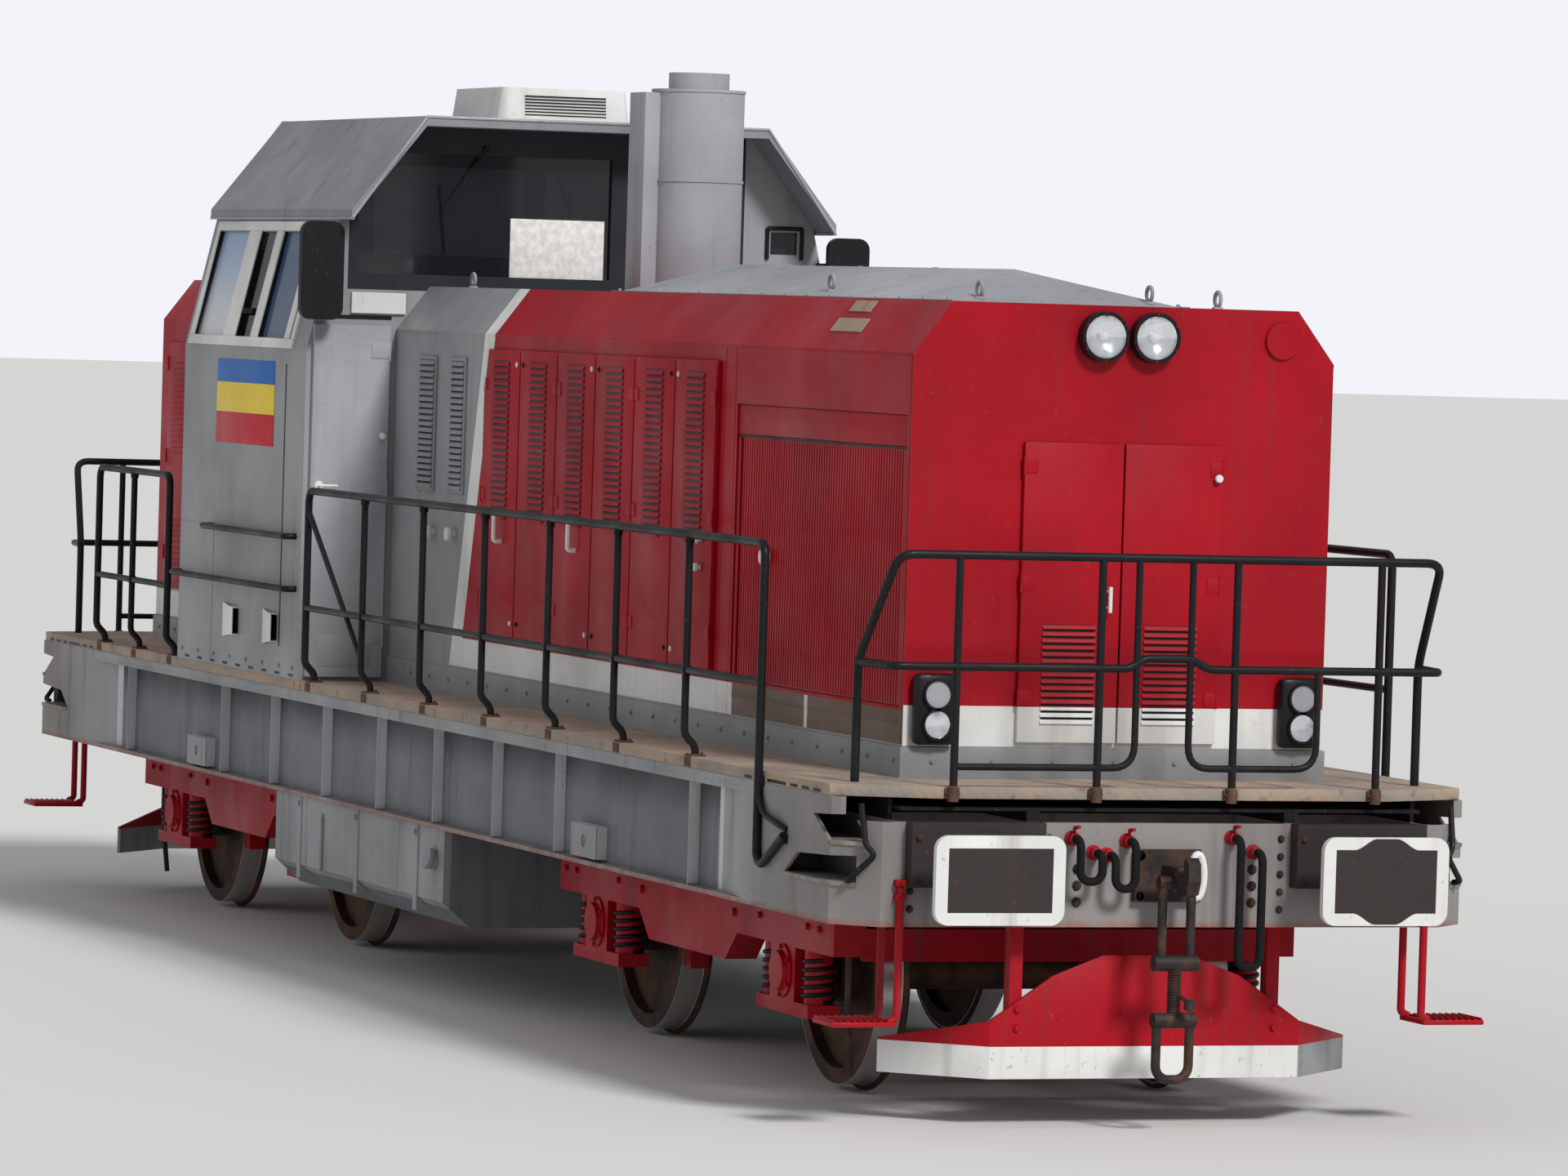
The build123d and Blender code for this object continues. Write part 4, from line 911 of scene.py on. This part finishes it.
# Plates on the hood's sloping edge, its seams and bolts
plates, seams = Shape(), Shape()
slope_run = 0.173 / 0.225
for x0, x1, z0, z1 in ((4.81, 5.06, 3.411, 3.458), (4.76, 5.13, 3.323, 3.380)):
    for side in each_side(plates):
        outline = [(x, HOOD_HALF - (z - HOOD_SHOULDER) * slope_run, z)
                   for x, z in ((x0, z0), (x1, z0), (x1, z1), (x0, z1))]
        plates.prism(outline, (0, 0.004, 0.003))
piece("hood_edge_plates", plates, "tan", smooth=0)
for side in each_side(seams):
    for x in (0.15, 3.60, 3.735, 5.905, -3.64, -4.90):
        seams.box((x - 0.004, 0.9715, 1.576), (x + 0.004, 0.9735, 3.240), 0.0005)
    seams.box((-1.365, 0.9715, 3.232), (HOOD_FRONT, 0.9740, 3.244), 0.0005)
    for first, pitch, count in ((-1.22, 0.308, 24), (-5.60, 0.31, 7)):
        for step in range(count):
            seams.bolt((first + step * pitch, HOOD_HALF + 0.012, PLINTH_BOLTS), OUT, 0.009, 0.007)
for end, face in PLINTH.items():
    seams.face(end)
    for step in range(7):
        seams.bolt((face, -0.84 + 0.28 * step, PLINTH_BOLTS), AHEAD, 0.009, 0.007)
piece("hood_seams", seams, "hood")

# Headlamps: bowl reflectors, domed glasses and bulbs
for side, side_name in SIDES:
    place = (HOOD_FRONT + 0.018, LAMP_Y, LAMP_Z)
    bowl, glass, bulb = (Shape(side=side) for _ in range(3))
    curve = [(0.036 * (step / 8) ** 2 + 0.001, LAMP_RADIUS * step / 8) for step in range(1, 9)]
    bowl.lathe(place, AHEAD, [(0, 0), *curve, (0.030, LAMP_RADIUS + 0.001)], 40)
    glass.lathe((HOOD_FRONT + 0.006, LAMP_Y, LAMP_Z), AHEAD, dome(0.040, 0.014, LAMP_RADIUS * 0.995, 8), 40)
    bulb.lathe(place, AHEAD, [(0.002, 0.02), (0.016, 0.02), (0.024, 0.012), (0.030, 0)], 16)
    piece(f"headlamp_bowl_{side_name}", bowl, "chrome")
    piece(f"headlamp_glass_{side_name}", glass, "lens")
    piece(f"headlamp_bulb_{side_name}", bulb, "white")
screws = Shape()
for side, _ in SIDES:
    for turn in range(6):
        angle = math.radians(60 * turn + 30)
        place = (HOOD_FRONT + 0.0585, side * LAMP_Y + 0.1015 * math.cos(angle), LAMP_Z + 0.1015 * math.sin(angle))
        screws.bolt(place, AHEAD, 0.0035, 0.003)
screws.lathe((HOOD_FRONT, 0.726, 3.339), AHEAD, [(0.006, 0.072), (0.012, 0.080), (0.016, 0.078), (0.016, 0)], 32)
piece("headlamp_screws", screws, "hood")

# Marker lamps: black rounded housings, two lamps nearly touching in each, the upper one dark
for end, end_name in ENDS:
    face = PLINTH[end]
    shells, bowls, dark_bowls, glasses = (Shape() for _ in range(4))
    for side in (-1, 1):
        for shape in (shells, bowls, dark_bowls, glasses):
            shape.face(end, side)
        shells.box((face - 0.012, 0.748, 1.587), (face + 0.058, 0.942, 1.890), 0.026)
        for z, bowl in ((1.675, bowls), (1.803, dark_bowls)):
            place = (face + 0.052, 0.845, z)
            shells.lathe(place, AHEAD, [(0, 0.068), (0.022, 0.068), (0.022, 0.058), (0.008, 0.056)], 32)
            bowl.lathe(place, AHEAD, [(0.007, 0), (0.008, 0.02), (0.014, 0.057)], 32)
            glasses.lathe(place, AHEAD, dome(0.012, 0.010, 0.058, 6), 32)
    piece(f"{end_name}_marker_shells", shells, "black", "marker_lamps")
    piece(f"{end_name}_marker_bowls", bowls, "chrome")
    piece(f"{end_name}_marker_dark_bowls", dark_bowls, "grey")
    piece(f"{end_name}_marker_glasses", glasses, "lens")


# Side windows: frames, broad mullion, open gap and sash bars in the leaning wall
def wall_bar(shape, x0, x1, z0, z1, out, bevel=0.0):
    """Bar on the leaning cab wall, from inside it to out."""
    inside = -0.012
    outline = [(x, cab_half - (z - SILL) * 0.2433 + inside, z) for x, z in ((x0, z0), (x1, z0), (x1, z1), (x0, z1))]
    shape.prism(outline, (0, out - inside, 0), bevel)


frame_top, rim = 3.787, 0.050
for side, side_name in SIDES:
    bars, rubbers = Shape(side=side), Shape(side=side)
    for z in (SILL, frame_top - rim):
        wall_bar(bars, -3.520, -1.600, z, z + rim, 0.014, 0.003)
    for x0, x1, out in ((-3.520, -3.468, 0.014), (-1.652, -1.600, 0.014), (-2.920, -2.700, 0.008),
                        (-2.405, -2.285, 0.010), (-1.790, -1.700, 0.008)):
        wall_bar(bars, x0, x1, SILL + rim, frame_top - rim, out, 0.003)
    piece(f"{side_name}_window_frame", bars, "white", "window_frames")
    for x in (-3.462, -2.926, -2.694, -2.411, -2.279, -1.796, -1.694, -1.658):
        wall_bar(rubbers, x - 0.005, x + 0.005, 3.182, 3.735, 0.001)
    for x in (-2.690, -2.590):
        wall_bar(rubbers, x, x + 0.090, 3.30, 3.33, 0.002)
    piece(f"{side_name}_window_rubbers", rubbers, "rubber", smooth=0)

# Cab: seams, scoops, a white strip over each door standing for lit wall with painted shadow under it, painted shade
# in the scoop mouths and in the holes along the base, and upright dark gaps
seams, darks, whites = Shape(), Shape(), Shape()
for side in each_side(seams, darks, whites):
    under, over = cab_half - 0.001, cab_half + 0.0012
    seams.box((-2.966, under, 1.460), (-2.958, cab_half + 0.002, 2.180), 0.0005)
    seams.box((-3.590, under, 2.176), (-1.380, cab_half + 0.002, 2.184), 0.0005)
    for x in (-3.50, -3.20, -2.90, -2.60, -2.30, -2.00, -1.70, -1.46):
        seams.bolt((x, cab_half, 1.500), OUT, 0.009, 0.007)
    for x0, x1 in ((-2.749, -2.455), (-2.011, -1.752)):
        root, mouth = cab_half - 0.002, cab_half + 0.032
        scoop = [(x0, root, 1.781), (x1, mouth, 1.760), (x1, mouth, 1.625), (x0, root, 1.600)]
        whites.prism(scoop, (0, 0.004, 0))
        for z in (1.760, 1.619):
            whites.slab([(x0, cab_half), (x1, cab_half), (x1, mouth + 0.004)], z, 0.006)
        # painted shade: a dark patch in the scoop's mouth
        darks.box((x1 - 0.16, under, 1.630), (x1 - 0.004, cab_half + 0.0015, 1.755))
    # painted shade: black dashes stand for the dark inside of holes along the cab's base
    for step in range(9):
        x = -3.45 + step * 0.24
        darks.box((x, under, 1.456), (x + 0.085, over, 1.470))
    # painted light: a white strip stands for the lit piece of wall over the door, and the dark strip under it is
    # painted shadow
    whites.box((-1.366, 0.930, 3.322), (-1.346, 1.220, 3.430), 0.004)
    darks.box((-1.366, 1.000, 3.292), (-1.3625, 1.380, 3.312))
    darks.box((-1.720, under, 1.60), (-1.700, over, 3.05))
piece("cab_seams", seams, "cab")
piece("cab_scoops", whites, "white", smooth=0)
piece("cab_dark_gaps", darks, "black", smooth=0)

roof_trim = Shape()
for side in each_side(roof_trim):
    roof_trim.box((-3.662, 1.296, 3.796), (-1.089, 1.314, 3.808), 0.002)
    for x in (-1.0905, -3.6605):
        roof_trim.pipe([(x, 1.306, 3.806), (x, 0.924, 4.330), (x, 0, 4.330)], 0.008, segments=8)
piece("roof_trim", roof_trim, "pale")

# Cab doors: hinges, lock plate, lever and knob
for side, side_name in SIDES:
    node = f"cab_{side_name}_door"
    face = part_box(node)[1].x
    hinges, grip = Shape(side=side), Shape(side=side)
    for z in (1.62, 2.36, 3.08):
        hinges.rod((face, 1.012, z), (face, 1.012, z + 0.11), 0.0065, 10)
        hinges.box((face, 1.016, z + 0.015), (face + 0.004, 1.110, z + 0.095), 0.001)
    hinges.box((face, 1.075, 1.520), (face + 0.003, 1.355, 1.680), 0.001)
    piece(f"{node}_hinges", hinges, "pale", body=node)
    grip.rod((face, 1.372, 2.440), (face + 0.034, 1.372, 2.440), 0.008)
    grip.rod((face + 0.030, 1.384, 2.440), (face + 0.030, 1.280, 2.440), 0.007)
    grip.lathe((face, 1.372, 2.440), AHEAD, [(0, 0), (0, 0.024), (0.006, 0.022), (0.006, 0)], 16)
    grip.lathe((face, 1.045, 2.700), AHEAD,
               [(0, 0), (0, 0.010), (0.012, 0.008), (0.014, 0.018), (0.026, 0.016), (0.030, 0)], 16)
    piece(f"{node}_handle", grip, "white", body=node)

# Windscreen: blank board behind it, wipers, surround of the small pane
glass_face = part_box("cab_windows")[1].x
board, wipers = Shape(), Shape()
board.box((glass_face - 0.0005, -0.370, 3.514), (glass_face + 0.008, 0.140, 3.831), 0.003)
piece("blank_board", board, "board")
WIPER_FOOT = [(0, 0), (0, 0.020), (0.018, 0.016), (0.018, 0)]
for tip_y, foot_y in ((-0.95, -0.52), (0.52, 0.62)):
    y = (tip_y + foot_y) / 2
    wipers.lathe((cab_front, foot_y, 4.180), AHEAD, WIPER_FOOT, 16)
    wipers.rod((cab_front + 0.012, foot_y, 4.180), (cab_front + 0.014, y, 3.860), 0.006)
    wipers.rod((cab_front + 0.006, y - 0.02, 3.990), (cab_front + 0.006, y + 0.02, 3.640), 0.007)
surround = [(1.030, 3.665), (1.030, 3.826), (1.222, 3.826), (1.222, 3.665)]
for first, second in zip(surround, surround[1:]):
    wipers.rod((cab_front + 0.006, *first), (cab_front + 0.006, *second), 0.011)
piece("wipers", wipers, "black")

grille = Shape()
low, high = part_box("air_conditioner")
for step in range(7):
    z = 4.365 + step * 0.016
    grille.box((high.x - 0.030, -0.300, z), (high.x - 0.002 - step * 0.0014, 0.140, z + 0.006))
grille.box((low.x + 0.010, low.y + 0.010, 4.330), (high.x - 0.010, high.y - 0.010, 4.338))
piece("air_conditioner_slots", grille, "black", smooth=0)

# Exhaust stack: bands and the bolts of the lowest
bands = Shape()
stack_x, stack_radius, band_radius = 0.4, 0.226, 0.2335
for z, height in ((3.474, 0.030), (4.020, 0.012), (4.462, 0.014)):
    profile = [(0, stack_radius), (0, band_radius), (height, band_radius), (height, stack_radius)]
    bands.lathe((stack_x, 0, z), UP, profile, 40)
for turn in range(12):
    across, along = math.cos(math.radians(30 * turn)), math.sin(math.radians(30 * turn))
    bands.bolt((stack_x + band_radius * across, band_radius * along, 3.489), (across, along, 0), 0.008, 0.006)
piece("stack_bands", bands, "pale")

# End beams: bolts, stowed link, coupling thread, cocks at the hose ends
BEAM_BOLTS = (
    # x ahead of the beam, ys from the middle, zs, radius, head
    (0, (0.530, 1.150), (0.935, 1.010, 1.085, 1.160, 1.235), 0.012, 0.011),
    (0.040, (0.125, -0.125), (0.995, 1.165), 0.014, 0.012),
    (0.075, (BUFFER_Y - 0.27, BUFFER_Y + 0.27), (1.050, 1.240), 0.013, 0.012),
)
LEVER_COCKS = ((-0.430, 1.235), (-0.180, 1.225), (0.300, 1.240))
BARE_COCKS = ((-0.330, 1.175), (-0.270, 1.165), (0.400, 1.180))
for end, end_name in ENDS:
    bolts, link_shape, coupling, cocks = Shape(end), Shape(end), Shape(end), Shape(end, end)
    for y in (-0.400, 0.400):
        for z in (0.965, 1.035, 1.105):
            bolts.bolt((beam_x, y, z), AHEAD, 0.016, 0.014)
    for side in (-1, 1):
        bolts.face(end, side)
        for ahead, ys, zs, radius, head in BEAM_BOLTS:
            for y in ys:
                for z in zs:
                    bolts.bolt((beam_x + ahead, y, z), AHEAD, radius, head)
    piece(f"{end_name}_beam_bolts", bolts, "steel")

    oval = []
    for angle in [math.radians(turn) for turn in range(0, 360, 15)]:
        oval.append((beam_x + 0.046, end * 0.130 + 0.030 * math.cos(angle), BUFFER_Z + 0.092 * math.sin(angle)))
    link_shape.pipe(oval + oval[:2], 0.016, segments=10)
    link_shape.box((beam_x + 0.034, end * 0.112, 1.010), (beam_x + 0.052, end * 0.148, 1.150), 0.006)
    piece(f"{end_name}_stowed_link", link_shape, "white")

    pin_x = beam_x + 0.140
    thread = [(0, 0.0262), (0.003, 0.031), (0.006, 0.031), (0.009, 0.0262)]
    for step in range(19):
        coupling.lathe((pin_x, 0, 0.480 + 0.012 * step), UP, thread, 16)
    coupling.rod((pin_x, 0, 0.600), (pin_x + 0.10, 0.03, 0.560), 0.009)
    coupling.lathe((pin_x + 0.10, 0.03, 0.575), (0, 0, -1), [(0, 0), (0, 0.022), (0.04, 0.026), (0.05, 0)], 14)
    piece(f"{end_name}_coupling_thread", coupling, "steel")

    for y, z in LEVER_COCKS + BARE_COCKS:
        cocks.lathe((beam_x, y, z), AHEAD,
                    [(0, 0), (0, 0.032), (0.012, 0.032), (0.014, 0.024), (0.050, 0.024), (0.052, 0.018)], 18)
    lever_x = beam_x + 0.032
    for y, z in LEVER_COCKS:
        cocks.rod((lever_x, y, z + 0.018), (lever_x, y, z + 0.048), 0.007)
        cocks.rod((lever_x, y, z + 0.046), (lever_x + 0.053, y, z + 0.052), 0.008)
    piece(f"{end_name}_hose_cocks", cocks, "red")

# Tank: straps, filler and gauge
tank = Shape()
for side in each_side(tank):
    for x in (-1.30, -0.32, 0.66):
        tank.box((x - 0.030, 1.426, 0.440), (x + 0.030, 1.436, 0.860), 0.002)
        tank.bolt((x, 1.436, 0.820), OUT, 0.014)
    tank.lathe((0.95, 1.425, 0.700), (0, 1, 0.3),
               [(0, 0), (0, 0.045), (0.030, 0.045), (0.034, 0.054), (0.052, 0.052), (0.056, 0)], 24)
    gauge_x, gauge_foot, gauge_top = -0.90, 0.520, 0.780
    tank.rod((gauge_x, 1.438, gauge_foot), (gauge_x, 1.438, gauge_top), 0.010)
    for z in (gauge_foot, gauge_top):
        tank.rod((gauge_x, 1.420, z), (gauge_x, 1.446, z), 0.014)
piece("tank_fittings", tank, "frame")

# Bogies: coil springs, axlebox covers with bolts, sand pipes at the outer axle
coil_steps, coil_turns, coil_radius = 14, 5, 0.064
box_face = 1.080
for outer, end_name in ENDS:
    body, centre = f"{end_name}_bogie", outer * PIVOT_X
    springs, covers, pipes = Shape(), Shape(), Shape()
    for side in each_side(springs, covers, pipes):
        for axle in (-AXLE_REACH, AXLE_REACH):
            axle_x = centre + axle
            for shift in (-0.25, 0.25):
                coil = []
                for step in range(coil_turns * coil_steps + 1):
                    angle = 2 * math.pi * step / coil_steps
                    coil.append((axle_x + shift + coil_radius * math.cos(angle),
                                 1.005 + side * coil_radius * math.sin(angle), 0.412 + 0.185 * step / 70))
                springs.pipe(coil, 0.0105, segments=8)
            covers.lathe((axle_x, 1.079, AXLE_Z), OUT,
                         [(0, 0), (0, 0.118), (0.010, 0.118), (0.012, 0.092), (0.034, 0.084), (0.038, 0)], 32)
            for turn in range(6):
                angle = math.radians(60 * turn + 30)
                place = (axle_x + 0.104 * math.cos(angle), 1.089, AXLE_Z + 0.104 * math.sin(angle))
                covers.bolt(place, OUT, 0.010, 0.009)
            if axle * outer > 0:
                pipe_x = axle_x + outer * 0.560
                pipes.pipe([(pipe_x, 0.985, 0.700), (pipe_x, 0.985, 0.420), (pipe_x - outer * 0.015, 0.960, 0.150)],
                           0.014, 0.08, 10)
        for x in (-0.62, 0.62):
            covers.bolt((centre + x, box_face, 0.730), OUT, 0.018)
        for x in (-1.70, -1.55, -0.95, 0.95, 1.55, 1.70):
            covers.bolt((centre + x, box_face, 0.745), OUT, 0.014)
    piece(f"{body}_springs", springs, "black", body=body)
    piece(f"{body}_axlebox_covers", covers, "red", body=body)
    piece(f"{body}_sand_pipes", pipes, "steel", body=body)

# Rear hood: lamps, louvred covers on its sides and end, roof lid
rims, bowls, glasses = Shape(), Shape(), Shape()
for side in each_side(rims, bowls, glasses):
    place = (rear_face, LAMP_Y, LAMP_Z)
    rims.lathe(place, BEHIND,
               [(0, 0), (0, 0.108), (0.052, 0.108), (0.058, 0.103), (0.058, 0.093), (0.012, 0.090)], 40)
    bowls.lathe(place, BEHIND, [(0.013, 0), (0.016, 0.035), (0.028, 0.070), (0.046, 0.0925)], 40)
    glasses.lathe(place, BEHIND, dome(0.046, 0.012, 0.0925, 7), 40)
piece("rear_lamp_rims", rims, "black")
piece("rear_lamp_bowls", bowls, "chrome")
piece("rear_lamp_glasses", glasses, "lens")

covers, catches = Shape(), Shape()
cover_face, end_face = 0.985, rear_face - 0.013
for side in each_side(covers, catches):
    for x0, x1 in ((-5.560, -5.020), (-4.780, -4.240)):
        centre = (x0 + x1) / 2
        covers.box((x0, 0.971, 1.780), (x1, cover_face, 3.120), 0.003)
        for z0, z1 in ((2.480, 3.040), (1.860, 2.140)):
            covers.side_louvres(cover_face, centre - 0.160, centre + 0.160, z0, z1)
        for z in (1.90, 2.44, 2.96):
            covers.rod((x0, cover_face, z), (x0, cover_face, z + 0.080), 0.007, 10)
        for z in (2.00, 2.90):
            catches.lathe((x1 - 0.040, cover_face, z), OUT,
                          [(0, 0), (0, 0.014), (0.006, 0.014), (0.007, 0.006), (0.012, 0.006), (0.012, 0)], 14)
    covers.box((end_face, 0.004, 1.780), (rear_face + 0.001, 0.460, 2.880), 0.003)
    covers.end_louvres(end_face, -1, 1.860, 14, 0.029)
    for z in (1.90, 2.30, 2.70):
        covers.rod((end_face, 0.460, z), (end_face, 0.460, z + 0.080), 0.007, 10)
catches.face()
handle_x = rear_face - 0.043
catches.pipe([(handle_x, -0.060, 2.240), (handle_x, -0.060, 2.360)], 0.009)
for z in (2.260, 2.340):
    catches.rod((rear_face - 0.012, -0.060, z), (handle_x, -0.060, z), 0.006)
piece("rear_hood_covers", covers, "hood")
piece("rear_hood_catches", catches, "white")

lid = Shape()
lid_top = HOOD_TOP + 0.018
lid.box((-5.300, -0.480, HOOD_TOP), (-4.000, 0.480, lid_top), 0.004)
for x in (-5.26, -4.84, -4.46, -4.04):
    for y in (-0.445, 0.445):
        lid.bolt((x, y, lid_top), UP, 0.010, 0.008)
piece("rear_hood_lid", lid, "pale")

# Rear wall of the cab: wipers and two grab bars
rear_trim = Shape()
for y in (-0.60, 0.60):
    tip_y = y + 0.10
    rear_trim.lathe((cab_rear, y, 4.190), BEHIND, WIPER_FOOT, 16)
    rear_trim.rod((cab_rear - 0.012, y, 4.190), (cab_rear - 0.012, tip_y, 3.900), 0.006)
    rear_trim.rod((cab_rear - 0.007, tip_y, 4.010), (cab_rear - 0.007, tip_y, 3.680), 0.007)
for y in (-1.200, 1.200):
    reach = cab_rear - 0.060
    rear_trim.pipe([(cab_rear, y, 2.950), (reach, y, 2.950), (reach, y, 1.850), (cab_rear, y, 1.850)], 0.013, 0.05)
piece("cab_rear_fittings", rear_trim, "black")

# Seats: pillar and pan, crowned cushions
frames = Shape()
for number, (x, y, back) in enumerate(((-2.450, -0.350, -1), (-2.700, 0.650, 1)), 1):
    frames.lathe((x, y, 1.494), UP,
                 [(0, 0), (0, 0.060), (0.02, 0.060), (0.03, 0.045), (0.42, 0.045), (0.43, 0)], 24)
    frames.box((x - 0.200, y - 0.200, 1.920), (x + 0.200, y + 0.200, 1.935), 0.004)
    frames.box((x + back * 0.212, y - 0.170, 1.925), (x + back * 0.228, y + 0.170, 2.540), 0.004)
    frames.box((x + back * 0.150, y - 0.040, 1.922), (x + back * 0.226, y + 0.040, 1.934), 0.003)
    cushion, rest = Shape(), Shape()
    cushion.cushion((x - 0.228, y - 0.228, 1.934), (x + 0.228, y + 0.228, 2.019))
    rest.cushion((x + back * 0.152, y - 0.208, 2.022), (x + back * 0.213, y + 0.208, 2.598))
    piece(f"seat_cushion_{number}", cushion, "seat", smooth=60)
    piece(f"seat_back_{number}", rest, "seat", smooth=60)
piece("seat_frames", frames, "black", "driver_seats")

# Engine room: covers and a pipe along each side of the block
low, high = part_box("engine")
block = Shape()
for side in each_side(block):
    edge = high.y if side > 0 else -low.y
    for step in range(6):
        x = low.x + (high.x - low.x) * (step + 0.5) / 6
        block.box((x - 0.11, edge - 0.002, high.z - 0.55), (x + 0.11, edge + 0.030, high.z - 0.12), 0.010)
        for shift in (-0.08, 0.08):
            for z in (high.z - 0.51, high.z - 0.16):
                block.bolt((x + shift, edge + 0.030, z), OUT, 0.012, 0.010)
    block.pipe([(low.x + 0.1, edge + 0.020, high.z - 0.70), (high.x - 0.1, edge + 0.020, high.z - 0.70)], 0.024)
piece("engine_covers", block, "steel")

# Plain coloured bands on the cab sides
for side, side_name in SIDES:
    bands = Shape(side=side)
    bands.box((-2.965, cab_half, 2.619), (-1.910, cab_half + 0.003, 3.060), 0.001)
    piece(f"cab_bands_{side_name}", bands, "bands")

# Camera
view_axis = Vector(CAMERA_TARGET) - Vector(CAMERA_AT)
turn = view_axis.to_track_quat("-Z", "Y").to_matrix().to_4x4()
camera_data = bpy.data.cameras.new("camera")
camera_data.lens = CAMERA_LENS
camera_data.clip_end = 500
camera = link("camera", camera_data)
camera.matrix_world = Matrix.Translation(CAMERA_AT) @ turn @ Matrix.Rotation(math.radians(CAMERA_ROLL), 4, "Z")
bpy.context.scene.camera = camera

# Lamps, sky and floor
for name, (shines_from, energy, width) in SUNS.items():
    sun_data = bpy.data.lights.new(name, "SUN")
    sun_data.energy = energy
    sun_data.angle = math.radians(width)
    sun = link(name, sun_data)
    sun.rotation_euler = (-Vector(shines_from)).to_track_quat("-Z", "Y").to_euler()

world = bpy.data.worlds.new("studio")
bpy.context.scene.world = world
world.use_nodes = True
background = world.node_tree.nodes["Background"]
background.inputs["Color"].default_value = SKY
path = world.node_tree.nodes.new("ShaderNodeLightPath")
seen = world.node_tree.nodes.new("ShaderNodeMath")
seen.operation = "MAXIMUM"
world.node_tree.links.new(path.outputs["Is Camera Ray"], seen.inputs[0])
world.node_tree.links.new(path.outputs["Is Transmission Ray"], seen.inputs[1])
strength = world.node_tree.nodes.new("ShaderNodeMapRange")
strength.inputs["To Min"].default_value = SKY_LIGHT
strength.inputs["To Max"].default_value = SKY_SEEN
world.node_tree.links.new(seen.outputs[0], strength.inputs["Value"])
world.node_tree.links.new(strength.outputs["Result"], background.inputs["Strength"])

floor_mesh = bmesh.new()
bmesh.ops.create_grid(floor_mesh, x_segments=1, y_segments=1, size=300)
floor_data = bpy.data.meshes.new("floor")
floor_mesh.to_mesh(floor_data)
floor_mesh.free()
floor_data.materials.append(Graph("floor").finish(screen(226, 225, 222), 0.9))
floor = link("floor", floor_data)

bpy.context.scene.view_settings.view_transform = "Standard"
